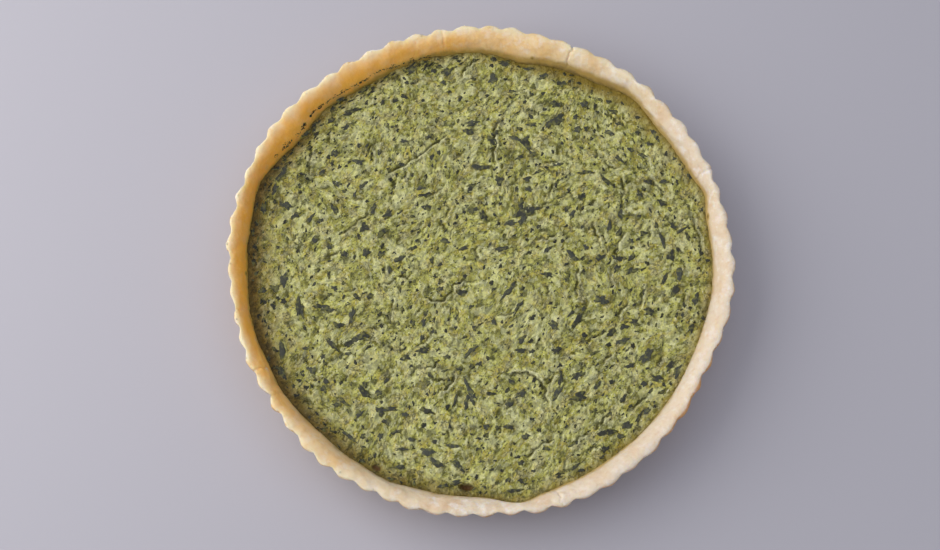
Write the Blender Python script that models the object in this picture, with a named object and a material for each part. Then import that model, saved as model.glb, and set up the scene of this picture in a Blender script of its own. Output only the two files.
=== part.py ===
"""Spinach quiche, 24 cm across: a fluted shortcrust case and the set spinach filling in it.

The origin is the middle of the base, on the surface that the quiche stands on, and +Z is up.
Angles run anticlockwise from +X, seen from above. Every length is in metres.
"""

import math
import random

import bmesh
import bpy
from mathutils import Vector, noise
from mathutils.geometry import delaunay_2d_cdt

MM = 0.001

# The case: what a 24 cm loose-bottomed quiche tin gives
RIM_RADIUS = 119.0 * MM  # over the crests of the flutes
FOOT_RADIUS = 113.5 * MM
HEIGHT = 32.0 * MM
BASE_THICKNESS = 4.6 * MM
WALL_THICKNESS = 4.4 * MM  # across the rim
FLUTES = 62
FLUTE_DEPTH = 2.15 * MM
COLUMNS_PER_FLUTE = 6
INNER_COLUMNS_PER_FLUTE = 2  # the inside is smoother, so it takes fewer

# The filling
FILLING_LEVEL = 21.5 * MM
FILLING_RADIUS = 109.4 * MM  # of the case's inner wall at that level
FILLING_STRETCH = 0.8 * MM  # it reaches further to the left and right, and less to the front and back
FILLING_GAP = 0.35 * MM  # all round, so that the two solids never touch
CORNER_RADIUS = 105.5 * MM  # of the inner wall just above the floor
FLOOR_RADIUS = 102.5 * MM
CORNER_RISE = 2.6 * MM

# Hand-made unevenness round the quiche: turns in a circle, size, phase
OUTLINE_WAVES = (
    (2, 0.35 * MM, -1.9),
    (3, 0.80 * MM, 1.4),
    (5, 0.50 * MM, 1.1),
    (6, 0.40 * MM, -0.7),
    (7, 0.30 * MM, -0.7),
    (12, 0.30 * MM, -1.5),
)
RIM_HEIGHT_WAVES = (
    (2, 0.55 * MM, 0.9),
    (3, 0.35 * MM, 2.6),
    (7, 0.30 * MM, 4.1),
    (11, 0.25 * MM, 0.4),
    (17, 0.20 * MM, 2.0),
)
RIM_WIDTH_WAVES = (
    (1, 0.50 * MM, 0.6),
    (4, 0.40 * MM, 2.9),
    (9, 0.35 * MM, 1.3),
    (14, 0.25 * MM, 5.0),
)
FLUTE_SHIFT_WAVES = ((1, 0.035, 2.6), (2, 0.010, 0.5))  # sizes are radians
FLUTE_SLIP = 0.006  # radians that a single flute may be out of step
FLUTE_DEPTH_SPREAD = 0.40  # the share by which one flute is deeper than the next
CREST_SPREAD = 0.35 * MM  # by which one crest stands out further than the next
# Where the flutes are shallower or deeper than elsewhere: degrees, change of depth, half-width
FLUTE_SIDES = ((-40, -0.33, 60), (150, 0.40, 18))
INNER_FLUTE_SHARE = 0.16  # how much of a flute shows inside the rim

# Where the filling reaches further up the pastry, or stops short: degrees, reach, half-width
FILLING_BAYS = (
    (0, -0.6 * MM, 8),
    (18, 2.5 * MM, 4),
    (34, 0.5 * MM, 6),
    (48, 2.2 * MM, 7),
    (62, -0.8 * MM, 9),
    (79, -3.0 * MM, 7),
    (120, -2.2 * MM, 14),
    (144, -3.4 * MM, 7),
    (160, 1.8 * MM, 5),
    (194, 1.6 * MM, 10),
    (214, 1.4 * MM, 6),
    (229, -1.4 * MM, 5),
    (239, -0.9 * MM, 6),
    (247, 1.0 * MM, 5),
    (279, 4.0 * MM, 6),
    (300, -1.0 * MM, 12),
    (348, -0.7 * MM, 8),
)
BAY_LIFT = 0.45  # rise of the filling's edge for each millimetre that it reaches outwards

# Relief of the filling's top
SWELL = 0.9 * MM  # slow rise and fall of the surface
SWELL_LENGTH = 38.0 * MM
LUMP = 0.75 * MM
LUMP_LENGTH = 9.0 * MM
CREASES = 62
CREASE_DEPTH = 1.1 * MM
CREASE_LIP = 0.6 * MM  # the torn edge that stands up on a crease's right, as it runs
CREASE_HALF_WIDTH = 1.3 * MM
CREASE_STEP = 4.0 * MM
CREASE_STEPS = (2, 6)
CREASE_LEAN = math.radians(50)  # most creases run this way, as the filling was spread
# Pits, where the filling sank or drew back from the pastry: x, y, half-width, depth
PITS = (
    (-6.2 * MM, -104.6 * MM, 2.6 * MM, 2.6 * MM),
    (63.2 * MM, -11.0 * MM, 2.4 * MM, 1.5 * MM),
    (-47.3 * MM, -95.8 * MM, 2.0 * MM, 1.0 * MM),
)
PIT_CORNERS = 6
SURFACE_STEP = 4.1 * MM  # between the points of the top
EDGE_MARGIN = 3.0 * MM  # kept between those points and the filling's edge

CRUST_COLOUR = (0.79, 0.56, 0.30, 1.0)
FILLING_COLOUR = (0.30, 0.30, 0.09, 1.0)
SEED = 24


def remove_old_objects():
    for old in list(bpy.data.objects):
        bpy.data.objects.remove(old)


def food_material(name, colour, roughness):
    material = bpy.data.materials.new(name)
    material.use_nodes = True
    shader = material.node_tree.nodes["Principled BSDF"]
    shader.inputs["Base Color"].default_value = colour
    shader.inputs["Roughness"].default_value = roughness
    shader.inputs["Metallic"].default_value = 0.0
    return material


def wave(angle, waves):
    """The sum of slow waves round the quiche, at an angle."""
    return sum(size * math.cos(turns * angle - phase) for turns, size, phase in waves)


def near(angle, places):
    """The sum at an angle of the changes that each fade away on both sides of their own place."""
    total = 0.0
    for degrees, change, half_width in places:
        away = (math.degrees(angle) - degrees + 180.0) % 360.0 - 180.0
        total += change * math.exp(-((away / half_width) ** 2))
    return total


def flute(turn):
    """Depth of a flute, 0 on its crest and 1 in its valley: a round crest and a tighter valley."""
    rolled = 0.5 - 0.5 * math.cos(2.0 * math.pi * turn)
    scalloped = 1.0 - abs(math.cos(math.pi * turn))
    return 0.35 * rolled + 0.65 * scalloped


class Columns:
    """The angles of the case's columns, with each flute a little out of step and of its own depth."""

    def __init__(self):
        chance = random.Random(SEED)
        self.slips = [chance.uniform(-1.0, 1.0) * FLUTE_SLIP for _ in range(FLUTES)]
        self.depths = [
            1.0 + chance.uniform(-1.0, 1.0) * FLUTE_DEPTH_SPREAD for _ in range(FLUTES)
        ]
        self.crests = [chance.uniform(-1.0, 1.0) * CREST_SPREAD for _ in range(FLUTES)]

    def blend(self, values, turn):
        """The value at a flute count, easing from one flute's to the next."""
        first = math.floor(turn)
        share = turn - first
        ease = share * share * (3.0 - 2.0 * share)
        here = values[first % FLUTES]
        after = values[(first + 1) % FLUTES]
        return here + (after - here) * ease

    def angle(self, turn):
        even = 2.0 * math.pi * turn / FLUTES
        return even + wave(even, FLUTE_SHIFT_WAVES) + self.blend(self.slips, turn)

    def valley(self, turn):
        """How far the outer wall is pressed in, as a share of the flute's depth."""
        share = 1.0 + near(self.angle(turn), FLUTE_SIDES)
        return flute(turn) * self.blend(self.depths, turn) * share

    def crest(self, turn):
        """How much further out than usual the outer wall stands."""
        return self.blend(self.crests, turn)


COLUMNS = Columns()


def outer_point(turn, inset, height, flute_share):
    """A point of the fluted outer wall: inset from the crests, at a height above the table."""
    angle = COLUMNS.angle(turn)
    rise = height / HEIGHT
    radius = FOOT_RADIUS + (RIM_RADIUS - FOOT_RADIUS) * rise
    radius += (wave(angle, OUTLINE_WAVES) + COLUMNS.crest(turn)) * rise
    radius -= inset + COLUMNS.valley(turn) * FLUTE_DEPTH * flute_share
    lift = wave(angle, RIM_HEIGHT_WAVES) * rise**3
    return Vector((radius * math.cos(angle), radius * math.sin(angle), height + lift))


def filling_edge(turn):
    """Radius and height of the line where the filling meets the pastry."""
    angle = COLUMNS.angle(turn)
    reach = near(angle, FILLING_BAYS)
    radius = FILLING_RADIUS + FILLING_STRETCH * math.cos(2.0 * angle)
    radius += wave(angle, OUTLINE_WAVES) + reach
    height = FILLING_LEVEL + wave(angle, RIM_HEIGHT_WAVES) * 0.5 + reach * BAY_LIFT
    return radius, height


def inner_ring(radius_height):
    """One point for each inner column, from a function of the flute count."""
    points = []
    for column in range(FLUTES * INNER_COLUMNS_PER_FLUTE):
        turn = column / INNER_COLUMNS_PER_FLUTE
        angle = COLUMNS.angle(turn)
        radius, height = radius_height(turn)
        points.append(Vector((radius * math.cos(angle), radius * math.sin(angle), height)))
    return points


def outer_ring(inset, height, flute_share):
    """One point for each outer column, at an inset from the crests."""
    count = FLUTES * COLUMNS_PER_FLUTE
    return [
        outer_point(column / COLUMNS_PER_FLUTE, inset, height, flute_share)
        for column in range(count)
    ]


def rim_ring(inset_share, drop, flute_share):
    """A ring on the rounded top of the rim, at a share of the rim's width."""
    points = []
    for column in range(FLUTES * COLUMNS_PER_FLUTE):
        turn = column / COLUMNS_PER_FLUTE
        width = WALL_THICKNESS + wave(COLUMNS.angle(turn), RIM_WIDTH_WAVES)
        points.append(outer_point(turn, width * inset_share, HEIGHT - drop, flute_share))
    return points


def shoulder_line(turn):
    """The inner wall part of the way from the filling's edge up to the rim."""
    edge_radius, edge_height = filling_edge(turn)
    rim = outer_point(turn, WALL_THICKNESS, HEIGHT, INNER_FLUTE_SHARE)
    rim_radius = math.hypot(rim.x, rim.y)
    share = 0.55
    radius = edge_radius + (rim_radius - edge_radius) * share
    height = edge_height + (HEIGHT - edge_height) * share
    return radius, height


def corner_line(turn):
    return CORNER_RADIUS, BASE_THICKNESS + CORNER_RISE


def floor_line(turn):
    return FLOOR_RADIUS, BASE_THICKNESS


def add_ring(bm, points):
    return [bm.verts.new(point) for point in points]


def join_rings(bm, first, second):
    """Triangles between two rings, whose diagonals all lean the same way.

    The first may hold a whole number of times as many points. The case and the filling lie close
    along uneven walls, and stay apart because both are split from their upper ring to the lower.
    """
    step = len(first) // len(second)
    for column in range(len(second)):
        after = second[(column + 1) % len(second)]
        row = [first[(column * step + k) % len(first)] for k in range(step + 1)]
        for here, beyond in zip(row, row[1:]):
            bm.faces.new([here, beyond, after])
        bm.faces.new([row[0], after, second[column]])


def finish_object(bm, name, material):
    """Turns the mesh into a named object, with its faces pointing out."""
    bmesh.ops.recalc_face_normals(bm, faces=bm.faces)
    mesh = bpy.data.meshes.new(name)
    bm.to_mesh(mesh)
    bm.free()
    mesh.materials.append(material)
    mesh.shade_smooth()
    mesh.set_sharp_from_angle(angle=math.radians(60))
    made = bpy.data.objects.new(name, mesh)
    bpy.context.collection.objects.link(made)
    return made


def pastry_case():
    """The case as rings, from the base's edge up the flutes, over the rim and down to the floor."""
    bm = bmesh.new()
    rings = [
        outer_ring(1.4 * MM, 0.0, 0.6),
        outer_ring(0.0, 1.5 * MM, 0.7),
        outer_ring(-0.2 * MM, 16.0 * MM, 0.9),
        outer_ring(0.0, HEIGHT - 1.5 * MM, 1.0),
        rim_ring(0.28, 0.2 * MM, 0.8),
        rim_ring(0.66, 0.0, 0.5),
        rim_ring(1.0, 1.0 * MM, 0.3),
        inner_ring(shoulder_line),
        inner_ring(filling_edge),
        inner_ring(corner_line),
        inner_ring(floor_line),
    ]
    added = [add_ring(bm, points) for points in rings]
    for first, second in zip(added, added[1:]):
        join_rings(bm, first, second)
    bm.faces.new(list(reversed(added[0])))
    bm.faces.new(added[-1])
    return finish_object(bm, "pastry_case", food_material("shortcrust", CRUST_COLOUR, 0.75))


def crease_points(chance):
    """Points along one crease, each with the direction in which it runs there."""
    radius = (FILLING_RADIUS - 14.0 * MM) * math.sqrt(chance.random())
    around = chance.uniform(0.0, 2.0 * math.pi)
    place = Vector((radius * math.cos(around), radius * math.sin(around)))
    heading = CREASE_LEAN + chance.gauss(0.0, 0.6)
    points = []
    for _ in range(chance.randint(*CREASE_STEPS)):
        along = Vector((math.cos(heading), math.sin(heading)))
        points.append((place.copy(), along))
        place += along * CREASE_STEP
        heading += chance.uniform(-0.45, 0.45)
    return points


def make_creases():
    """Creases that keep clear of each other and of the filling's edge."""
    chance = random.Random(SEED + 1)
    kept = []
    clear = 1.9 * CREASE_STEP
    while len(kept) < CREASES:
        crease = crease_points(chance)
        inside = all(place.length < FILLING_RADIUS - 9.0 * MM for place, _ in crease)
        others = [place for other in kept for place, _ in other]
        apart = all((place - other).length > clear for place, _ in crease for other in others)
        if inside and apart:
            kept.append(crease)
    return kept


def surface_height(place):
    """Height of the filling's top, away from its creases."""
    swell = noise.noise(Vector((place.x, place.y, 0.0)) / SWELL_LENGTH)
    lump = noise.noise(Vector((place.x, place.y, LUMP_LENGTH)) / LUMP_LENGTH)
    return FILLING_LEVEL + swell * SWELL + lump * LUMP


def crease_surface(creases):
    """The points of the creases: a torn lip, the bottom of the crease, and its far side."""
    points = []
    lines = []
    for crease in creases:
        first = len(points)
        for index, (place, along) in enumerate(crease):
            across = Vector((along.y, -along.x)) * CREASE_HALF_WIDTH
            end = index in (0, len(crease) - 1)
            depth = CREASE_DEPTH * (0.35 if end else 1.0)
            for side, lift in ((across, CREASE_LIP), (Vector((0, 0)), -depth), (-across, 0.0)):
                spot = place + side
                points.append((spot, surface_height(spot) + lift))
        for index in range(len(crease) - 1):
            for row in range(3):
                start = first + 3 * index + row
                lines.append((start, start + 3))
    return points, lines


def pit_surface():
    """The points of the pits: the bottom of each, and corners round it on the surface."""
    points = []
    for x, y, half_width, depth in PITS:
        middle = Vector((x, y))
        points.append((middle, surface_height(middle) - depth))
        for corner in range(PIT_CORNERS):
            turn = 2.0 * math.pi * corner / PIT_CORNERS
            spot = middle + Vector((math.cos(turn), math.sin(turn))) * half_width
            points.append((spot, surface_height(spot)))
    return points


def loose_surface(taken):
    """Uneven points over the rest of the top, on a staggered grid."""
    chance = random.Random(SEED + 2)
    points = []
    rows = int(FILLING_RADIUS / (SURFACE_STEP * 0.87)) + 1
    columns = int(FILLING_RADIUS / SURFACE_STEP) + 1
    for row in range(-rows, rows + 1):
        for column in range(-columns, columns + 1):
            stagger = 0.5 * (row % 2)
            spot = Vector(((column + stagger) * SURFACE_STEP, row * SURFACE_STEP * 0.87))
            spot.x += chance.uniform(-0.22, 0.22) * SURFACE_STEP
            spot.y += chance.uniform(-0.22, 0.22) * SURFACE_STEP
            if spot.length > FILLING_RADIUS - EDGE_MARGIN - FILLING_GAP - 1.0 * MM:
                continue
            if all((spot - other).length > 0.55 * SURFACE_STEP for other in taken):
                points.append((spot, surface_height(spot)))
    return points


def clear_of_case(line):
    """The same line of the case, held off it by the gap, for the filling's own side."""

    def held(turn):
        radius, height = line(turn)
        return radius - FILLING_GAP, height

    return held


def spinach_filling():
    """The filling: a flat underside, a side that follows the case, and a creased top."""
    bm = bmesh.new()
    lift = Vector((0.0, 0.0, FILLING_GAP))
    edge = inner_ring(clear_of_case(filling_edge))
    corner = [point + lift * 0.5 for point in inner_ring(clear_of_case(corner_line))]
    floor = [point + lift for point in inner_ring(clear_of_case(floor_line))]
    sides = [add_ring(bm, points) for points in (edge, corner, floor)]
    for above, below in zip(sides, sides[1:]):
        join_rings(bm, above, below)
    bm.faces.new(sides[-1])

    creased, lines = crease_surface(make_creases())
    pitted = pit_surface()
    loose = pitted + loose_surface([spot for spot, _ in creased + pitted])
    count = len(edge)
    spots = [point.xy for point in edge] + [spot for spot, _ in creased + loose]
    ends = [(k, (k + 1) % count) for k in range(count)]
    ends += [(start + count, end + count) for start, end in lines]
    flat = delaunay_2d_cdt(spots, ends, [], 1, 0.01 * MM)
    heights = [height for _, height in creased + loose]
    corners = []
    for spot, sources in zip(flat[0], flat[3]):
        first = min(sources)
        if first < count:
            corners.append(sides[0][first])
        else:
            corners.append(bm.verts.new((spot.x, spot.y, heights[first - count])))
    for face in flat[2]:
        bm.faces.new([corners[k] for k in face])
    return finish_object(bm, "spinach_filling", food_material("filling", FILLING_COLOUR, 0.6))


remove_old_objects()
pastry_case()
spinach_filling()
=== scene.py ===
"""Looks of the spinach quiche: a fluted shortcrust case, the filling set in it and the leaf in that.

Lengths are in metres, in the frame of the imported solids: the origin is the middle of the base, on the
surface that the quiche stands on, and +Z is up. Angles run anticlockwise from +X, seen from above.
"""

import math
import random

import bpy
import numpy as np
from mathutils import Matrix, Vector, noise


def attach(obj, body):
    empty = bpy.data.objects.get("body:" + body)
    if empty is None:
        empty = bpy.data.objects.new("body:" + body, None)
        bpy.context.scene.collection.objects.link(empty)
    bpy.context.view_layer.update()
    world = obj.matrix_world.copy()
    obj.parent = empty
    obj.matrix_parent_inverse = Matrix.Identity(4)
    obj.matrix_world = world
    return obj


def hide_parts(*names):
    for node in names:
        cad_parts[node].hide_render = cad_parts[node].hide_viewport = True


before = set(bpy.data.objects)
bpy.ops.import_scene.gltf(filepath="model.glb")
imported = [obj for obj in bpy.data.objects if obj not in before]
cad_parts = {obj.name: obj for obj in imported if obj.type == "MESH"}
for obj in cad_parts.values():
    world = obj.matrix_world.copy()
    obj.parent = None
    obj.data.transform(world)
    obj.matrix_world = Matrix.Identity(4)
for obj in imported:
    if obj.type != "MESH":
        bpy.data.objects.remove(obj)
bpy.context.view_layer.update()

# The pastry case: shortcrust of flour, butter and egg, pressed by hand into a fluted 24 cm tin, trimmed
# level with its rim and baked. It has left the tin, so the whole fluted side shows.
MM = 0.001
RIM_RADIUS = 119.0 * MM  # over the crests of the flutes
FOOT_RADIUS = 113.5 * MM
HEIGHT = 32.0 * MM
BASE_THICKNESS = 4.6 * MM
WALL_THICKNESS = 4.4 * MM
FLUTES = 62
FLUTE_DEPTH = 2.15 * MM
FLUTE_SLIP = 0.006  # radians that a single flute may be out of step
FLUTE_DEPTH_SPREAD = 0.40
CREST_SPREAD = 0.35 * MM
FLUTE_SIDES = ((-40, -0.33, 60), (150, 0.40, 18))  # degrees, change of depth, half-width
FILLING_LEVEL = 21.5 * MM
FILLING_RADIUS = 109.4 * MM
FILLING_STRETCH = 0.8 * MM
CORNER_RADIUS = 105.5 * MM
CORNER_RISE = 2.6 * MM
FLOOR_RADIUS = 102.5 * MM
OUTLINE_WAVES = (
    (2, 0.35 * MM, -1.9),
    (3, 0.80 * MM, 1.4),
    (5, 0.50 * MM, 1.1),
    (6, 0.40 * MM, -0.7),
    (7, 0.30 * MM, -0.7),
    (12, 0.30 * MM, -1.5),
)
RIM_HEIGHT_WAVES = (
    (2, 0.55 * MM, 0.9),
    (3, 0.35 * MM, 2.6),
    (7, 0.30 * MM, 4.1),
    (11, 0.25 * MM, 0.4),
    (17, 0.20 * MM, 2.0),
)
RIM_WIDTH_WAVES = (
    (1, 0.50 * MM, 0.6),
    (4, 0.40 * MM, 2.9),
    (9, 0.35 * MM, 1.3),
    (14, 0.25 * MM, 5.0),
)
FLUTE_SHIFT_WAVES = ((1, 0.035, 2.6), (2, 0.010, 0.5))
FILLING_BAYS = (
    (0, -0.6 * MM, 8),
    (18, 2.5 * MM, 4),
    (34, 0.5 * MM, 6),
    (48, 2.2 * MM, 7),
    (62, -0.8 * MM, 9),
    (79, -3.0 * MM, 7),
    (120, -2.2 * MM, 14),
    (144, -3.4 * MM, 7),
    (160, 1.8 * MM, 5),
    (194, 1.6 * MM, 10),
    (214, 1.4 * MM, 6),
    (229, -1.4 * MM, 5),
    (239, -0.9 * MM, 6),
    (247, 1.0 * MM, 5),
    (279, 4.0 * MM, 6),
    (300, -1.0 * MM, 12),
    (348, -0.7 * MM, 8),
)
BAY_LIFT = 0.45
SEED = 24

COLUMNS_PER_FLUTE = 24
COLUMNS = FLUTES * COLUMNS_PER_FLUTE
ROUNDING_PASSES = 6  # over the rows of the side and rim, so that no edge of the profile is sharp
LOBE_LIFT = 0.5 * MM  # how much higher the rim is on a flute's crest than in its valley
# Cracks and pressed joins across the rim: degrees, share of the depth, share of the length
CRACKS = (
    (67.0, 0.9, 0.9),
    (99.0, 0.5, 0.7),
    (-72.0, 0.5, 0.8),
    (22.0, 0.4, 1.1),
    (-146.0, 0.45, 1.0),
    (-153.0, 0.6, 1.1),
    (-168.0, 0.45, 0.7),
)
CRACK_DEPTH = 1.1 * MM
CRACK_HALF_WIDTH = 0.42 * MM
CRACK_JAG = 0.7 * MM


def wave(angle, waves):
    """The sum of slow waves round the quiche, at each angle."""
    return sum(size * np.cos(turns * angle - phase) for turns, size, phase in waves)


def bell(away, half_width):
    return np.exp(-((away / half_width) ** 2))


def turned(angle, degrees):
    """Degrees from a place on the rim, between -180 and 180."""
    return (np.degrees(angle) - degrees + 180.0) % 360.0 - 180.0


def near(angle, places):
    """The sum, at each angle, of the changes that each fade away on both sides of their own place."""
    return sum(change * bell(turned(angle, spot), half) for spot, change, half in places)


def smooth(low, high, value):
    share = np.clip((value - low) / (high - low), 0.0, 1.0)
    return share * share * (3.0 - 2.0 * share)


def on_side(angle, place, start, full):
    """Rises from 0 to 1 between two distances from a place on the rim, all in degrees."""
    return smooth(start, full, np.abs(turned(angle, place)))


def flute(turn):
    """Depth of a flute, 0 on its crest and 1 in its valley: a round crest and a tighter valley."""
    rolled = 0.5 - 0.5 * np.cos(2.0 * math.pi * turn)
    scalloped = 1.0 - np.abs(np.cos(math.pi * turn))
    return 0.35 * rolled + 0.65 * scalloped


def eased(values, turn):
    """The value at each flute count, easing from one flute's to the next."""
    first = np.floor(turn).astype(int)
    share = smooth(0.0, 1.0, turn - first)
    values = np.array(values)
    return values[first % FLUTES] * (1.0 - share) + values[(first + 1) % FLUTES] * share


chance = random.Random(SEED)
slips = [chance.uniform(-1.0, 1.0) * FLUTE_SLIP for _ in range(FLUTES)]
depths = [1.0 + chance.uniform(-1.0, 1.0) * FLUTE_DEPTH_SPREAD for _ in range(FLUTES)]
crest_steps = [chance.uniform(-1.0, 1.0) * CREST_SPREAD for _ in range(FLUTES)]
turns = np.arange(COLUMNS) / COLUMNS_PER_FLUTE
even_angles = 2.0 * math.pi * turns / FLUTES
angles = even_angles + wave(even_angles, FLUTE_SHIFT_WAVES) + eased(slips, turns)
valleys = flute(turns) * eased(depths, turns) * (1.0 + near(angles, FLUTE_SIDES))
crests = eased(crest_steps, turns)
rim_widths = WALL_THICKNESS + wave(angles, RIM_WIDTH_WAVES)


def side_line(inset, height, flute_share, dip=0.0):
    """Radius and height, at each column, of a line round the outside of the case."""
    rise = height / HEIGHT
    radius = FOOT_RADIUS + (RIM_RADIUS - FOOT_RADIUS) * rise
    radius = radius + (wave(angles, OUTLINE_WAVES) + crests) * rise
    radius = radius - inset - valleys * FLUTE_DEPTH * flute_share
    level = height + wave(angles, RIM_HEIGHT_WAVES) * rise**3 - valleys * dip
    return np.array([radius, level])


def rim_line(width_share, drop, flute_share):
    return side_line(rim_widths * width_share, HEIGHT - drop, flute_share, LOBE_LIFT * flute_share)


def filling_line(angle):
    """Radius and height where the filling meets the pastry, at each angle."""
    reach = near(angle, FILLING_BAYS)
    radius = FILLING_RADIUS + FILLING_STRETCH * np.cos(2.0 * angle)
    radius = radius + wave(angle, OUTLINE_WAVES) + reach
    return np.array([radius, FILLING_LEVEL + 0.5 * wave(angle, RIM_HEIGHT_WAVES) + reach * BAY_LIFT])


def level_line(radius, height):
    return np.array([np.full(COLUMNS, radius), np.full(COLUMNS, height)])


meeting = filling_line(angles)
# The rim rolls over into the inner wall in one round curve, down to the filling
crest = rim_line(0.45, 0.0, 0.22)
ROLL_ROWS = 22
ROLL = math.radians(66)
roll = [ROLL * step / ROLL_ROWS for step in range(ROLL_ROWS)]
roll_shares = [
    np.array([[math.sin(turn) / math.sin(ROLL)], [(1.0 - math.cos(turn)) / (1.0 - math.cos(ROLL))]])
    for turn in roll
]

# Each line round the case, with the number of rows from it to the next one
case_lines = (
    (side_line(1.4 * MM, 0.0, 0.6), 3),
    (side_line(0.0, 1.5 * MM, 0.7), 10),
    (side_line(-0.2 * MM, 16.0 * MM, 0.9), 14),
    (side_line(0.0, HEIGHT - 1.5 * MM, 0.95), 6),
    (rim_line(0.20, 0.3 * MM, 0.68), 5),
    *((crest + (meeting - crest) * share, 1) for share in roll_shares),
    (meeting, 2),
    (level_line(CORNER_RADIUS, BASE_THICKNESS + CORNER_RISE), 1),
    (level_line(FLOOR_RADIUS, BASE_THICKNESS), 0),
)
rows = []
for (line, steps), (next_line, _) in zip(case_lines, case_lines[1:]):
    rows += [line + (next_line - line) * step / steps for step in range(steps)]
rows.append(case_lines[-1][0])
rows = np.array(rows)
RIM_ROW = 3 + 10 + 14 + 6
INNER_ROW = RIM_ROW + 10
FILLING_ROW = RIM_ROW + 5 + ROLL_ROWS
for _ in range(ROUNDING_PASSES):
    shown = rows[: FILLING_ROW + 1]
    shown[1:-1] = (shown[:-2] + 2.0 * shown[1:-1] + shown[2:]) / 4.0


def start_point(name):
    """A new piece at the origin, open in edit mode, of a single point."""
    bpy.ops.object.select_all(action="DESELECT")
    bpy.ops.mesh.primitive_plane_add(size=MM)
    piece = bpy.context.object
    piece.name = piece.data.name = name
    bpy.ops.object.mode_set(mode="EDIT")
    bpy.ops.mesh.select_all(action="SELECT")
    bpy.ops.mesh.merge(type="CENTER")
    return piece


def read(piece, name="position", parts=3, kind=np.float32):
    """The values of one of a mesh's attributes, one row for each point."""
    values = np.empty(len(piece.data.vertices) * parts, kind)
    key = "vector" if parts == 3 else "value"
    piece.data.attributes[name].data.foreach_get(key, values)
    return values.reshape(-1, parts) if parts > 1 else values


def paint(piece, name, values):
    """Stores one number, or three, at each point of a mesh, for its material to read."""
    values = np.asarray(values, np.float32)
    kind, key = ("FLOAT_VECTOR", "vector") if values.ndim > 1 else ("FLOAT", "value")
    layer = piece.data.attributes.get(name) or piece.data.attributes.new(name, kind, "POINT")
    layer.data.foreach_set(key, values.ravel())


def place(piece, spots):
    """Moves each point of a mesh to its spot."""
    paint(piece, "position", spots)
    piece.data.update()


# The profile is drawn as one line at the mean size of each row, and spun round the middle in as many
# steps as there are flutes. Then each step is cut into the columns that shape its flute.
case = start_point("pastry_case_baked")
profile = rows.mean(axis=2)
bpy.ops.transform.translate(value=(profile[0][0], 0.0, profile[0][1]))
for here, after in zip(profile, profile[1:]):
    step = (after[0] - here[0], 0.0, after[1] - here[1])
    bpy.ops.mesh.extrude_vertices_move(TRANSFORM_OT_translate={"value": step})
bpy.ops.object.mode_set(mode="OBJECT")
case.data.attributes.new("row", "INT", "POINT").data.foreach_set("value", range(len(profile)))
bpy.ops.object.mode_set(mode="EDIT")
bpy.ops.mesh.select_all(action="SELECT")
bpy.ops.mesh.spin(steps=FLUTES, angle=2.0 * math.pi, center=(0.0, 0.0, 0.0), axis=(0.0, 0.0, 1.0))
bpy.ops.mesh.select_all(action="SELECT")
bpy.ops.mesh.remove_doubles(threshold=0.02 * MM)
bpy.ops.mesh.select_all(action="DESELECT")
bpy.ops.mesh.select_mode(type="EDGE")
bpy.ops.object.mode_set(mode="OBJECT")
ends = np.empty(len(case.data.edges) * 2, np.int32)
case.data.edges.foreach_get("vertices", ends)
case_row = read(case, "row", 1, np.int32)
case.data.edges.foreach_set("select", case_row[ends[0::2]] == case_row[ends[1::2]])
bpy.ops.object.mode_set(mode="EDIT")
bpy.ops.mesh.subdivide(number_cuts=COLUMNS_PER_FLUTE - 1)
bpy.ops.mesh.select_all(action="SELECT")
bpy.ops.mesh.fill_holes(sides=0)
bpy.ops.mesh.normals_make_consistent(inside=False)
bpy.ops.object.mode_set(mode="OBJECT")

# Each point of the spun shape goes to its own row and column of the fluted one
spots = read(case)
case_row = read(case, "row", 1, np.int32)
case_column = np.round(np.arctan2(spots[:, 1], spots[:, 0]) / (2.0 * math.pi) * COLUMNS)
case_column = case_column.astype(int) % COLUMNS
radius, level = rows[case_row, :, case_column].T
case_angle = angles[case_column]
place(case, np.stack([radius * np.cos(case_angle), radius * np.sin(case_angle), level], 1))


def normals(piece):
    found = np.empty(len(piece.data.vertices) * 3, np.float32)
    piece.data.vertex_normals.foreach_get("vector", found)
    return found.reshape(-1, 3)


# Hairline cracks across the rim: the line wanders a little on its way in
crack_away = np.full(len(case_row), 9.0)
crack_push = np.zeros(len(case_row))
for degrees, depth_share, length_share in CRACKS:
    wander = [noise.noise(Vector((row * 0.21, degrees, 0.0))) for row in range(len(profile))]
    wander = np.array(wander) * 2.0 * CRACK_JAG
    away = np.radians(turned(case_angle, degrees)) * RIM_RADIUS + wander[case_row]
    from_rim = np.abs(case_row - (RIM_ROW + 8)) / (20.0 * length_share)
    open_share = 1.0 - smooth(0.55, 1.0, from_rim)
    crack_push += depth_share * CRACK_DEPTH * bell(away, CRACK_HALF_WIDTH) * open_share
    away = np.abs(away) / MM + 2.0 * (1.0 - open_share * depth_share)
    crack_away = np.minimum(crack_away, away)
place(case, read(case) - normals(case) * crack_push[:, None])

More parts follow.
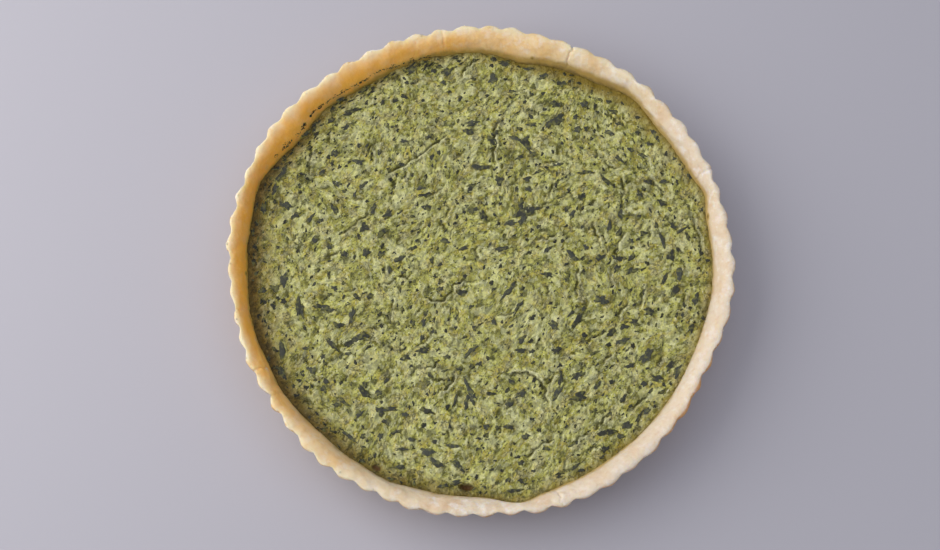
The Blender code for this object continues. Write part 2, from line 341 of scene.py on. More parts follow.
# Where two bits of dough were pressed together, one laps over the other in a low slanting step: its
# place and half-length in degrees, its height over the filling there, and its rise for each degree
LAPS = (
    (-94.0, 7.0, 4.2 * MM, -0.22 * MM),
    (-84.0, 5.0, 3.2 * MM, 0.30 * MM),
    (-112.0, 6.0, 5.0 * MM, 0.25 * MM),
    (38.0, 8.0, 4.5 * MM, -0.20 * MM),
    (8.0, 6.0, 4.0 * MM, 0.28 * MM),
    (205.0, 7.0, 4.6 * MM, 0.20 * MM),
)
LAP_STEP = 0.55 * MM
over_filling = read(case)[:, 2] - meeting[1][case_column]
on_inner_wall = (case_row > INNER_ROW - 3) & (case_row < FILLING_ROW)
lap_push = np.zeros(len(case_row))
lap_edge = np.zeros(len(case_row))
for degrees, half_length, rise, slope in LAPS:
    along = turned(case_angle, degrees)
    above = over_filling - rise - slope * along
    there = smooth(half_length, 0.6 * half_length, np.abs(along)) * on_inner_wall
    lap_push += LAP_STEP * there * smooth(-0.5 * MM, 0.5 * MM, above) * smooth(5.0 * MM, 0.0, above)
    lap_edge = np.maximum(lap_edge, there * bell(above, 0.35 * MM))
place(case, read(case) + normals(case) * lap_push[:, None])


def add_group(piece, name, chosen):
    """A vertex group that holds the chosen points."""
    group = piece.vertex_groups.new(name=name)
    group.add([int(index) for index in np.flatnonzero(chosen)], 1.0, "REPLACE")
    return name


def roughen(piece, group, kind, grain, depth, **settings):
    """Pushes the points of a group in and out by a pattern of that grain."""
    pattern = bpy.data.textures.new(f"{piece.name}_{kind}_{round(grain / MM, 1)}", kind)
    pattern.noise_scale = grain
    for setting, value in settings.items():
        setattr(pattern, setting, value)
    bpy.ops.object.select_all(action="DESELECT")
    bpy.context.view_layer.objects.active = piece
    piece.select_set(True)
    bpy.ops.object.modifier_add(type="DISPLACE")
    push = piece.modifiers[-1]
    push.texture = pattern
    push.texture_coords = "LOCAL"
    push.strength = depth
    push.mid_level = 0.5
    push.vertex_group = group
    bpy.ops.object.modifier_apply(modifier=push.name)


# Dough keeps the dents of the fingers that pressed it, and its broken fat and flour make it crumbly
relief = add_group(case, "relief", (case_row > 1) & (case_row < FILLING_ROW))
rim_relief = add_group(case, "rim_relief", (case_row > RIM_ROW - 6) & (case_row < INNER_ROW + 10))
roughen(case, relief, "CLOUDS", 9.0 * MM, 1.0 * MM, noise_depth=1)
roughen(case, relief, "CLOUDS", 3.2 * MM, 0.50 * MM, noise_depth=3)
roughen(case, rim_relief, "CLOUDS", 1.2 * MM, 0.22 * MM, noise_depth=2)

# The trimmed outer edge has lost crumbs, most of all on the left
CHIP = 1.5 * MM
CHIP_DEPTH = 1.5 * MM
LEAST_BITE = 0.12  # of the pattern, below which no crumb is lost
CHIPPED_SIDE = (165.0, 85.0, 45.0)  # degrees, and how far from there it begins and is at its most
chipped = on_side(case_angle, *CHIPPED_SIDE)
chipped = bell(case_row - RIM_ROW + 1.0, 3.5) * (0.25 + 0.75 * chipped)
spots = read(case)
chips = np.zeros(len(case_row))
for index in np.flatnonzero(chipped > 0.04):
    bite = noise.noise(Vector(spots[index].tolist()) / CHIP) - LEAST_BITE
    chips[index] = max(0.0, bite) * chipped[index] * CHIP_DEPTH
place(case, spots - normals(case) * chips[:, None])

# What the material reads: how browned, floury, buttery and pink each place is. Browned also carries painted
# shade on the rim's
# edge at the lower right, and buttery a painted glow on the inner wall at the left. Each side and spot of
# the case is in degrees:
# where it is, then how far from there it begins and is at its most, or its half-width.
PALE_SIDE = (170.0, 120.0, 60.0)
BUTTER_GLOW_SIDE = (155.0, 100.0, 35.0)
NOT_PINK_SIDE = (150.0, 125.0, 70.0)
BROWNED_SHADE_SPOT = (-30.0, 15.0)
FLOURY_SPOTS = ((0.45, 25.0, 50.0), (0.55, -95.0, 16.0))  # how much more, then the spot
STAIN_REACH = 6.5  # mm over the filling
STAIN_SHARE = 0.42
STAINED_SPOTS = ((0.95, 66.0, 24.0), (0.55, 18.0, 16.0), (0.45, -70.0, 20.0), (0.30, 110.0, 20.0))
WIDER_STAIN = (2.5, 60.0, 26.0)  # mm more, then the spot
over_filling = (read(case)[:, 2] - meeting[1][case_column]) / MM
outside = smooth(RIM_ROW + 3.0, RIM_ROW - 5.0, case_row)
inside = smooth(RIM_ROW + 3.0, INNER_ROW + 8.0, case_row + 2.0 * valleys[case_column])
low = smooth(9.0 * MM, 0.0, read(case)[:, 2])
browned_and_shade = outside * (0.75 + 0.25 * low - 0.30 * valleys[case_column])
# The rim's outer edge at the lower right is browner: partly browned crust, partly painted shade
spot_place, spot_width = BROWNED_SHADE_SPOT
on_rim = smooth(RIM_ROW + 5.0, RIM_ROW, case_row)
browned_and_shade += 0.85 * on_rim * bell(turned(case_angle, spot_place), spot_width)
browned_and_shade -= 0.35 * bell(case_row - RIM_ROW, 4.0) * on_side(case_angle, *PALE_SIDE)
# The inner wall on the left is buttery golden: partly fat soaked in, partly a painted glow of light through
# the pastry
butter_glow_side = on_side(case_angle, *BUTTER_GLOW_SIDE)
buttery_and_glow = inside * (0.06 + 0.94 * butter_glow_side)
pink_side = 1.0 - on_side(case_angle, *NOT_PINK_SIDE)
floury = 0.35 - 0.25 * butter_glow_side + 0.8 * lap_edge
for more, spot_place, spot_width in FLOURY_SPOTS:
    floury += more * bell(turned(case_angle, spot_place), spot_width)
floury += 0.45 * butter_glow_side * bell(case_row - RIM_ROW, 4.5)
on_wall = smooth(INNER_ROW - 2.0, INNER_ROW + 4.0, case_row)
more, spot_place, spot_width = WIDER_STAIN
stain_reach = STAIN_REACH + more * bell(turned(case_angle, spot_place), spot_width)
stain_share = STAIN_SHARE
for more, spot_place, spot_width in STAINED_SPOTS:
    stain_share = stain_share + more * bell(turned(case_angle, spot_place), spot_width)
stained = smooth(stain_reach, 0.0, over_filling) * on_wall * stain_share
# The wall's last 1.6 mm over the filling is darker: partly a stain, partly painted shade where the filling
# meets it
stained += 0.22 * smooth(1.6, 0.1, over_filling) * on_wall
# Small burnt marks on the wall: degrees, mm over the filling, mm of half-width
MARKS = ((182.5, 1.6, 0.9), (12.0, 2.4, 1.1), (76.0, 4.6, 0.7))
for degrees, over, half_width in MARKS:
    along = turned(case_angle, degrees) * math.radians(RIM_RADIUS / MM)
    stained += 1.1 * bell(np.hypot(along, over_filling - over), half_width) * on_wall
for name, values in (
    ("browned_and_shade", browned_and_shade),
    ("floury", floury),
    ("buttery_and_glow", buttery_and_glow),
    ("pink", pink_side),
    ("stained", stained),
    ("crack", crack_away),
):
    paint(case, name, values)
case.data.shade_smooth()


def linear(hex_colour):
    """Linear RGBA of an sRGB hex colour."""
    parts = [int(hex_colour[start : start + 2], 16) / 255.0 for start in (1, 3, 5)]
    bent = [part / 12.92 if part <= 0.04045 else ((part + 0.055) / 1.055) ** 2.4 for part in parts]
    return (*bent, 1.0)


def add_node(tree, kind, inputs=(), **settings):
    """Adds a node with its settings. Each input is given a value, or a link from another socket."""
    node = tree.nodes.new(kind)
    for setting, value in settings.items():
        setattr(node, setting, value)
    for socket, value in dict(inputs).items():
        if isinstance(value, bpy.types.NodeSocket):
            tree.links.new(value, node.inputs[socket])
        else:
            node.inputs[socket].default_value = value
    return node


FACTOR, FIRST, SECOND = 0, 6, 7  # sockets of a colour Mix node
RESULT = 2


def mixed(tree, share, first, second, blend="MIX"):
    """The colour that two colours give, mixed by a share."""
    node = add_node(tree, "ShaderNodeMix", data_type="RGBA", blend_type=blend)
    for socket, value in ((FACTOR, share), (FIRST, first), (SECOND, second)):
        value = linear(value) if isinstance(value, str) else value
        if isinstance(value, bpy.types.NodeSocket):
            tree.links.new(value, node.inputs[socket])
        else:
            node.inputs[socket].default_value = value
    return node.outputs[RESULT]


def spread_out(tree, value, low, high, least=0.0, most=1.0):
    """A value's range from low to high, eased to least to most."""
    ranges = {"Value": value, "From Min": low, "From Max": high, "To Min": least, "To Max": most}
    kind = "ShaderNodeMapRange"
    return add_node(tree, kind, ranges, interpolation_type="SMOOTHSTEP").outputs["Result"]


def joined(tree, operation, first, second):
    return add_node(tree, "ShaderNodeMath", {0: first, 1: second}, operation=operation).outputs[0]


def tinted(tree, colour, value, low, high, most, tint):
    """The colour, turned towards a tint as a value goes from low to high, at most by a share."""
    return mixed(tree, spread_out(tree, value, low, high, 0.0, most), colour, tint)


def painted(tree, name):
    return add_node(tree, "ShaderNodeAttribute", attribute_name=name).outputs["Fac"]


def pattern(tree, vector, size, detail=3.0, roughness=0.5, distortion=0.0):
    """A cloudy pattern, from 0 to 1, whose largest patches are about that size."""
    sizes = {"Vector": vector, "Scale": 1.0 / size, "Detail": detail, "Roughness": roughness}
    return add_node(tree, "ShaderNodeTexNoise", {**sizes, "Distortion": distortion}).outputs["Fac"]


def new_material(name):
    """A material, with its node tree and its surface shader."""
    material = bpy.data.materials.new(name)
    material.use_nodes = True
    return material, material.node_tree, material.node_tree.nodes["Principled BSDF"]


# Baked shortcrust: dry, matt and short. Fat makes it a little see-through, so its shade glows yellow.
# Blind baking has coloured it only lightly, and flour from the rolling lies on it in pale patches.
crust, tree, baked = new_material("baked_shortcrust")
where = add_node(tree, "ShaderNodeTexCoord").outputs["Object"]
BAKE_PATCH = 13.0 * MM
CRUMB = 2.2 * MM
FLOUR_PATCH = 4.5 * MM
GRIT = 0.45 * MM  # coarser than flour, so that it shows in the render
patches = pattern(tree, where, BAKE_PATCH)
crumbs = pattern(tree, where, CRUMB, 4.0)
dust = pattern(tree, where, FLOUR_PATCH, 6.0, 0.65)
grit = pattern(tree, where, GRIT, 2.0)
cream = mixed(tree, painted(tree, "pink"), "#EAD9B4", "#E0D1BC")
golden = mixed(tree, painted(tree, "pink"), "#E4C795", "#DCC7AC")
colour = mixed(tree, spread_out(tree, patches, 0.42, 0.68), cream, golden)
colour = tinted(tree, colour, crumbs, 0.50, 0.72, 0.30, "#D2B088")
# Browning, with painted shade on the rim's outer edge at the lower right
brown_and_shade_share = joined(tree, "ADD", painted(tree, "browned_and_shade"), joined(tree, "SUBTRACT", patches, 0.5))
colour = tinted(tree, colour, brown_and_shade_share, 0.0, 0.95, 0.85, "#C68E52")
# Buttery golden yellow on the left inner wall: partly fat soaked in, partly a painted glow
butter_glow_share = joined(
    tree, "MULTIPLY", painted(tree, "buttery_and_glow"), spread_out(tree, patches, 0.2, 0.6, 0.8)
)
colour = mixed(tree, butter_glow_share, colour, "#F7B94A")
flour_share = joined(tree, "MULTIPLY", spread_out(tree, dust, 0.46, 0.70), painted(tree, "floury"))
colour = mixed(tree, flour_share, colour, "#EFE7E0")
# Olive stains, with a darker band where the wall meets the filling: partly stain, partly painted shade
stain_and_shade_edge = joined(tree, "ADD", painted(tree, "stained"), joined(tree, "SUBTRACT", dust, 0.5))
colour = tinted(tree, colour, stain_and_shade_edge, 0.15, 0.85, 0.85, "#B08F3A")
colour = tinted(tree, colour, stain_and_shade_edge, 0.95, 1.50, 0.62, "#66531F")
colour = tinted(tree, colour, grit, 0.60, 0.78, 0.18, "#B98A55")
# Each hairline crack is drawn as a dark brown line: painted shade in it
colour = tinted(tree, colour, painted(tree, "crack"), 0.38, 0.10, 0.8, "#7A4E26")
tree.links.new(colour, baked.inputs["Base Color"])
baked.inputs["Roughness"].default_value = 0.68
baked.inputs["Subsurface Weight"].default_value = 0.55
baked.inputs["Subsurface Radius"].default_value = (1.0, 0.78, 0.40)
baked.inputs["Subsurface Scale"].default_value = 5.0 * MM
baked.inputs["Specular IOR Level"].default_value = 0.35
lumps = add_node(
    tree, "ShaderNodeBump", {"Height": crumbs, "Strength": 0.6, "Distance": 0.45 * MM}
).outputs["Normal"]
fine = add_node(
    tree,
    "ShaderNodeBump",
    {"Height": grit, "Strength": 0.5, "Distance": 0.10 * MM, "Normal": lumps},
).outputs["Normal"]
tree.links.new(fine, baked.inputs["Normal"])
case.data.materials.append(crust)
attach(case, "root")
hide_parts("pastry_case")

# Crumbs: bits of the same shortcrust that broke off where the edge was trimmed, and baked on again.
# Each is a small uneven lump, half sunk in the rim.
CRUMBS = 90
CRUMB_SIZES = (0.35 * MM, 1.1 * MM)
CRUMBS_ELSEWHERE = 0.35  # how likely a crumb is away from the chipped side
bpy.ops.object.select_all(action="DESELECT")
bpy.ops.mesh.primitive_ico_sphere_add(subdivisions=2, radius=1.0)
lump = bpy.context.object
lump.name = lump.data.name = "crust_crumbs"
lump_spots = read(lump).astype(float)
lump_faces = [tuple(face.vertices) for face in lump.data.polygons]
chance = random.Random(SEED + 7)
rim_points = np.flatnonzero((case_row > RIM_ROW - 3) & (case_row < INNER_ROW - 3))
# In the order of rows and columns, so that every run draws the same points
rim_points = rim_points[np.lexsort((case_column[rim_points], case_row[rim_points]))]
rim_spots = read(case)
crumb_spots, crumb_faces = [], []
while len(crumb_spots) < CRUMBS:
    middle = int(chance.choice(rim_points))
    on_left = abs(float(turned(case_angle[middle], CHIPPED_SIDE[0]))) < CHIPPED_SIDE[1]
    if not on_left and chance.random() > CRUMBS_ELSEWHERE:
        continue
    least, most = CRUMB_SIZES
    size = least + (most - least) * chance.random() ** 2.5
    stretch = np.array([chance.uniform(0.7, 1.3) for _ in range(3)]) * 0.5 * size
    shift = chance.uniform(0.0, 50.0)
    bumps = [0.8 + 0.5 * noise.noise(Vector(spot) * 1.3 + Vector((shift,) * 3)) for spot in lump_spots]
    start = len(crumb_spots) * len(lump_spots)
    crumb_faces += [tuple(start + corner for corner in face) for face in lump_faces]
    crumb_spots.append(rim_spots[middle] + lump_spots * np.array(bumps)[:, None] * stretch)
lump.data.clear_geometry()
lump.data.from_pydata(np.concatenate(crumb_spots).tolist(), [], crumb_faces)
paint(lump, "crack", np.full(len(lump.data.vertices), 9.0))
lump.data.shade_smooth()
lump.data.materials.append(crust)
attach(lump, "root")

# The filling: cream, egg and cheese blended with chopped spinach, poured in and set in the oven. It fills
# the case to two thirds. Its skin has dried and torn into creases with a raised lip on one side.
FILLING_GAP = 0.35 * MM
SWELL = 0.9 * MM
SWELL_LENGTH = 38.0 * MM
LUMP = 0.75 * MM
LUMP_LENGTH = 9.0 * MM
CREASE_DEPTH = 1.05 * MM
CREASE_LIP = 0.80 * MM
CREASE_HALF_WIDTH = 1.45 * MM
EDGE_MARGIN = 3.0 * MM
SPREAD = math.radians(57.0)  # the way that the spoon went
GRID = 298  # squares along each side of the sheet that the top is made from
WALL_REACH = 0.45 * MM  # how far the filling's edge goes into the pastry, so that no gap shows
WRINKLES = 520
WRINKLE_STEP = 1.6 * MM
CREASE_BITS = 5  # short bits that each step of a crease is split into, so that it runs jagged
CREASE_JAG = 0.80 * MM

# The main tears, where the photograph shows them: how deep as a share of the deepest, then mm, mm
TEARS = (
    (0.9, (-10, 94), (-8, 98.5), (-5, 102.5), (0, 105)),
    (1.0, (-48, 42), (-42, 47), (-33, 52), (-27, 56), (-20, 62), (-13, 67)),
    (1.0, (-51.3, 50), (-52, 53), (-53.5, 57), (-52, 60.5), (-47, 62.5)),
    (0.8, (-42, 37), (-41, 40), (-40.5, 43)),
    (0.8, (-38, 42), (-36, 44), (-34, 46.5)),
    (0.9, (-66, 14.5), (-62.3, 17.6), (-57.2, 22.5), (-52.8, 26.4)),
    (0.9, (-16, 17), (-17, 19.5), (-19, 22)),
    (0.7, (-39.5, 11), (-38, 13), (-35.5, 15)),
    (0.8, (-71.5, 1.5), (-70.5, 4), (-67, 6.5)),
    (0.9, (-81.8, 41.8), (-82.1, 51.3), (-80.5, 58.7)),
    (0.7, (-73.5, 61), (-73, 67)),
    (0.6, (-5, 52), (-4.5, 55), (-2.5, 58)),
    (0.7, (-23, 34.5), (-20, 37), (-17, 38)),
    (0.7, (-17, 23), (-15.5, 26), (-14, 29.5)),
    (0.7, (-1, 2), (-1.5, 6), (-2, 10.5)),
    (0.6, (-33, 91.5), (-30, 93.5), (-27, 96)),
    (0.8, (-29, 70), (-24, 70.5), (-20, 69)),
    (1.0, (8.5, 47), (6.5, 53), (7.5, 59), (7.5, 66), (9, 71), (13.5, 75.5)),
    (0.7, (44, 62), (46.5, 63.5), (49, 63.5)),
    (0.7, (24.5, 83.5), (23, 86), (21, 89)),
    (0.8, (31, 51), (34.5, 51.5), (40, 52)),
    (0.7, (66, 46.5), (62, 51), (57, 57)),
    (1.0, (68.3, 21), (68, 28), (68.5, 34), (69.3, 41), (67.5, 47)),
    (1.0, (65.5, 2), (64, 7), (66.5, 11), (70, 17)),
    (0.7, (70, 40), (73, 41.5)),
    (0.9, (89, 34), (86.5, 37.5), (84, 41), (80, 46)),
    (0.7, (32.5, 32), (34, 37), (35.5, 42.5)),
    (0.7, (29, 28.5), (31.5, 29.5), (34.5, 31.5)),
    (0.9, (26.5, 12), (29.5, 13.5), (33, 13.5), (37.5, 15)),
    (0.9, (57.5, 8), (56.5, 13), (54.5, 18), (54, 22.5)),
    (0.8, (105.5, 4), (104.5, 13), (102.5, 21), (100.5, 30)),
    (0.6, (80, 11.5), (81, 16), (81.5, 21)),
    (0.7, (51.5, 29), (54, 30.5), (56, 32.5)),
    (0.7, (66.5, 71.5), (65, 74), (63, 76.5)),
    (0.9, (-47.5, -12.5), (-45, -9.3), (-41.5, -8.5), (-37, -5), (-34.5, -6.5), (-31, -3.5)),
    (1.0, (-27, -16), (-23.5, -16.5), (-19, -17.3), (-14.5, -14.5), (-12, -10), (-8, -7.8), (0, -8)),
    (0.8, (-32, -25.5), (-30, -22.5), (-27.5, -20.5)),
    (0.7, (-43, -28), (-41, -22), (-41.5, -15)),
    (0.7, (-44, -6.5), (-45.3, 0.5)),
    (0.9, (-30.5, -39.2), (-26, -37.5), (-24, -34.5), (-21, -31.5)),
    (0.7, (-60.5, -44), (-64.5, -41.5), (-64.8, -35)),
    (1.0, (-20.5, -63), (-19, -60), (-14.5, -58), (-12, -54), (-11, -50)),
    (0.9, (-23, -54.5), (-20, -55.7), (-15, -55)),
    (0.7, (-25.5, -48.3), (-22, -49), (-19.5, -46.5)),
    (0.7, (-13.5, -82.5), (-16, -79), (-17.5, -76)),
    (0.7, (-46.5, -40.5), (-49, -37), (-50, -33)),
    (1.0, (45, -17), (45.3, -12), (46.5, -6), (46, 0)),
    (0.8, (61.5, -11.5), (62.3, -6), (62, 0)),
    (0.7, (34.5, -16.5), (32, -14.5), (31, -9)),
    (0.8, (74.5, -21), (76.5, -15), (77.2, -8.5)),
    (1.0, (65, -27), (66, -23.5), (70.5, -16.5)),
    (0.7, (97.5, -21), (96, -17), (96.3, -12.5)),
    (0.8, (8, -24.7), (12, -24.3), (17.5, -23)),
    (0.8, (49.5, -38.5), (53, -36), (56, -33.5), (60.5, -31)),
    (1.0, (56.5, -47.3), (59, -44.8), (61.5, -42)),
    (0.7, (37, -46.5), (41, -43.5), (45.5, -42.5)),
    (0.9, (82.3, -49.5), (83, -47), (85.5, -43.5)),
    (1.0, (31.8, -70), (30.5, -65), (30.3, -59), (27, -55.7), (22, -52), (17, -52), (11.5, -54.5)),
    (0.9, (31, -57.3), (33, -55), (36.5, -52)),
    (1.0, (51.5, -78.8), (54.5, -76), (57, -74), (60.3, -70.5)),
    (0.9, (68, -69.5), (73, -66.5), (76, -64), (80.5, -60.5)),
    (1.0, (21.5, -91.5), (24.5, -87.5), (28.5, -84), (35.5, -81.5)),
    (0.9, (41, -86), (45, -82), (51.5, -80.3)),
    (0.9, (50, -88.7), (51.5, -86.5), (54.5, -85.5)),
    (0.6, (39.3, -97.5), (38.5, -94), (38.8, -91.5)),
)


def surface_height(x, y):
    """Height of the filling's top, away from its creases."""
    swell = noise.noise(Vector((x, y, 0.0)) / SWELL_LENGTH)
    lump = noise.noise(Vector((x, y, LUMP_LENGTH)) / LUMP_LENGTH)
    return FILLING_LEVEL + swell * SWELL + lump * LUMP


def spread_heading(x, y):
    """The way the filling was drawn by the spoon: slantwise, and along the pastry near it."""
    around = math.atan2(y, x) + math.pi / 2.0
    slant = SPREAD + 0.9 * noise.noise(Vector((x, y, 0.03)) / (34.0 * MM))
    turn = (around - slant + math.pi / 2.0) % math.pi - math.pi / 2.0
    near_wall = smooth(62.0 * MM, 104.0 * MM, math.hypot(x, y))
    return slant + turn * near_wall


def wrinkle_points(chance):
    """Points along one small wrinkle of the skin."""
    radius = (FILLING_RADIUS - 3.0 * MM) * math.sqrt(chance.random())
    around = chance.uniform(0.0, 2.0 * math.pi)
    spot = Vector((radius * math.cos(around), radius * math.sin(around)))
    lean = chance.gauss(0.0, 0.45)
    points = [spot.copy()]
    for _ in range(chance.randint(1, 5)):
        heading = spread_heading(spot.x, spot.y) + lean
        spot += Vector((math.cos(heading), math.sin(heading))) * WRINKLE_STEP
        points.append(spot.copy())
        lean += chance.uniform(-0.4, 0.4)
    return points


def jagged(points, bits, jag, key):
    """The same line in short bits, each pushed a little to one side."""
    line = []
    for number, (here, after) in enumerate(zip(points, points[1:])):
        side = (after - here).orthogonal().normalized()
        for bit in range(bits):
            share = bit / bits
            push = noise.noise(Vector((key * 7.3, number + share, 0.5)) * 2.7) * jag * 2.0
            line.append(here.lerp(after, share) + side * push)
    line.append(points[-1].copy())
    return line


# A flat square sheet becomes a disc: each square ring of it is pushed out to a round one
bpy.ops.object.select_all(action="DESELECT")
bpy.ops.mesh.primitive_grid_add(x_subdivisions=GRID, y_subdivisions=GRID, size=2.0)
filling = bpy.context.object
filling.name = filling.data.name = "spinach_filling_set"
square = read(filling)[:, :2].astype(float)
across, up = square.T
wide = np.abs(across) >= np.abs(up)
ring = np.where(wide, across, up)
safe_ring = np.where(ring == 0.0, 1.0, ring)
quarter = math.pi / 4.0
around = np.where(
    wide, quarter * up / safe_ring, 2.0 * quarter - quarter * across / safe_ring
)
around = np.where(ring < 0.0, around + math.pi, around)
ring = np.abs(ring)
edge_radius, edge_height = filling_line(around)
radius = ring * (edge_radius + WALL_REACH)
top_x = radius * np.cos(around)
top_y = radius * np.sin(around)

# Creases and wrinkles: the distance of each point from the nearest, and how deep it is there
crease_side = np.full(len(top_x), 9.0 * MM)
crease_open = np.zeros(len(top_x))
relief_height = np.zeros(len(top_x))
chance = random.Random(SEED + 3)
folds = []
for share, *places in TEARS:
    points = [Vector(place_mm) * MM for place_mm in places]
    folds.append((points, CREASE_HALF_WIDTH, CREASE_DEPTH * share, CREASE_LIP * share))
for _ in range(WRINKLES):
    strength = chance.uniform(0.15, 1.0)
    half_width = CREASE_HALF_WIDTH * (0.35 + 0.3 * strength)
    sizes = (half_width, 0.55 * CREASE_DEPTH * strength, 0.55 * CREASE_LIP * strength)
    folds.append((wrinkle_points(chance), *sizes))
for key, (points, half_width, depth, lip) in enumerate(folds):
    line = np.array(jagged(points, CREASE_BITS, CREASE_JAG, key))
    reach = 2.5 * half_width
    low, high = line.min(axis=0) - reach, line.max(axis=0) + reach
    inside_box = (top_x > low[0]) & (top_x < high[0]) & (top_y > low[1]) & (top_y < high[1])
    close = np.flatnonzero(inside_box)
    if not len(close):
        continue
    spot = np.stack([top_x[close], top_y[close]], 1)
    best = np.full(len(close), 9.0 * MM)
    share_along = np.zeros(len(close))
    for number, (here, after) in enumerate(zip(line, line[1:])):
        along = after - here
        share = np.clip(((spot - here) @ along) / (along @ along), 0.0, 1.0)
        offset = spot - here - share[:, None] * along
        right = (offset[:, 0] * along[1] - offset[:, 1] * along[0]) > 0.0
        gap = np.hypot(*offset.T)
        closer = gap < np.abs(best)
        best[closer] = np.where(right, gap, -gap)[closer]
        share_along[closer] = ((number + share) / (len(line) - 1))[closer]
    open_share = smooth(0.0, 0.22, share_along) * smooth(1.0, 0.78, share_along)
    at = best / half_width
    groove = -depth * np.exp(-((at / 0.38) ** 2)) * (0.3 + 0.7 * open_share)
    raised = lip * np.exp(-(((at - 0.85) / 0.42) ** 2)) * (0.4 + 0.6 * open_share)
    relief_height[close] += groove + raised
    stronger = np.abs(best) < np.abs(crease_side[close])
    crease_side[close] = np.where(stronger, best, crease_side[close])
    open_here = open_share * depth / CREASE_DEPTH
    crease_open[close] = np.where(stronger, open_here, crease_open[close])

# Pits, where the filling sank or drew back from the pastry: x, y, half-width, depth
PITS = (
    (-6.2 * MM, -104.6 * MM, 2.6 * MM, 2.6 * MM),
    (-47.3 * MM, -95.8 * MM, 2.0 * MM, 1.0 * MM),
)
pit_share = np.zeros(len(top_x))
for x, y, half_width, depth in PITS:
    turn = math.atan2(y, x)
    across_pit = (top_x - x) * math.cos(turn) + (top_y - y) * math.sin(turn)
    along_pit = (top_y - y) * math.cos(turn) - (top_x - x) * math.sin(turn)
    inner = np.hypot(across_pit / (0.65 * half_width), along_pit / (1.35 * half_width))
    dent = smooth(1.15, 0.45, inner)
    relief_height -= depth * dent
    pit_share = np.maximum(pit_share, dent)

# The crumbly skin: curds with crevices between them, each a little higher or lower than the next, and
# fine ridges drawn out the way the filling was spread
CURD = 4.4 * MM
SMALL_CURD = 2.0 * MM
CURD_STEP = 0.24 * MM
SMALL_CURD_STEP = 0.22 * MM
CREVICE = 0.42 * MM
SMALL_CREVICE = 0.22 * MM
DRAWN_OUT = 0.80  # how much shorter a curd's length counts than its width
BEND_LENGTH = 30.0 * MM
BEND = 5.0 * MM
RIDGE = 0.16 * MM
LUMP_HERE = 0.26 * MM


def curds(drawn, size):
    """How high the curd at a place stands, from -1 to 1, and its distance from the next one."""
    gaps, middles = noise.voronoi(drawn / size)
    stands = math.sin(middles[0].x * 12.9 + middles[0].y * 78.2)
    return stands, (gaps[1] - gaps[0]) * size


def drawn_out(x, y):
    """The place as the spoon left it: shortened along its strokes, which run slantwise and bend."""
    bend = noise.noise_vector(Vector((x, y, 0.01)) / BEND_LENGTH) * BEND
    along = (x + bend.x) * math.cos(SPREAD) + (y + bend.y) * math.sin(SPREAD)
    beside = (y + bend.y) * math.cos(SPREAD) - (x + bend.x) * math.sin(SPREAD)
    return Vector((along * DRAWN_OUT, beside, 0.0))


noise.seed_set(SEED)  # or noise_vector starts from the clock
streaks = np.zeros((len(top_x), 3))
crumble = np.zeros(len(top_x))
calm = np.zeros(len(top_x))
smooth_top = np.zeros(len(top_x))
for index, (x, y) in enumerate(zip(top_x, top_y)):
    drawn = drawn_out(x, y)
    streaks[index] = drawn
    ragged = drawn + noise.noise_vector(Vector((x, y, 0.02)) / (1.9 * MM)) * (0.9 * MM)
    stands, gap = curds(ragged, CURD)
    small_stands, small_gap = curds(ragged, SMALL_CURD)
    ridges = 1.0 - abs(noise.noise(drawn / (2.4 * MM))) * 2.4
    lumps_here = noise.noise(Vector((x, y, 0.04)) / (1.7 * MM))
    crumble[index] = (
        CURD_STEP * stands
        + SMALL_CURD_STEP * small_stands
        - CREVICE * math.exp(-((gap / (0.55 * MM)) ** 2))
        - SMALL_CREVICE * math.exp(-((small_gap / (0.45 * MM)) ** 2))
        + RIDGE * ridges
        + LUMP_HERE * lumps_here
    )
    calm[index] = noise.noise(Vector((x, y, 0.05)) / (14.0 * MM))
    smooth_top[index] = surface_height(x, y)
rough_share = 0.55 + 0.45 * smooth(-0.30, 0.30, calm)
crumble = (crumble - crumble.mean()) * rough_share
inward = edge_radius - radius
beside_wall = smooth(0.0, 1.0, inward / (EDGE_MARGIN + 2.0 * MM))
rolled_edge = bell(inward - 1.8 * MM, 1.6 * MM) * 0.15 * MM
CLING = 1.1 * MM  # how far the filling clings up the pastry or hangs below its line
clinging = np.zeros(len(top_x))
for index in np.flatnonzero(inward < 4.0 * MM):
    x, y = top_x[index], top_y[index]
    slow = noise.noise(Vector((x, y, 0.09)) / (6.0 * MM))
    quick = noise.noise(Vector((x, y, 0.11)) / (2.0 * MM))
    clinging[index] = CLING * (0.9 * slow + 0.6 * quick)
clinging *= smooth(4.0 * MM, 0.5 * MM, inward)
height = edge_height + clinging + (smooth_top - edge_height) * beside_wall
height += (relief_height + crumble) * (0.35 + 0.65 * beside_wall) + rolled_edge
place(filling, np.stack([top_x, top_y, height], 1))

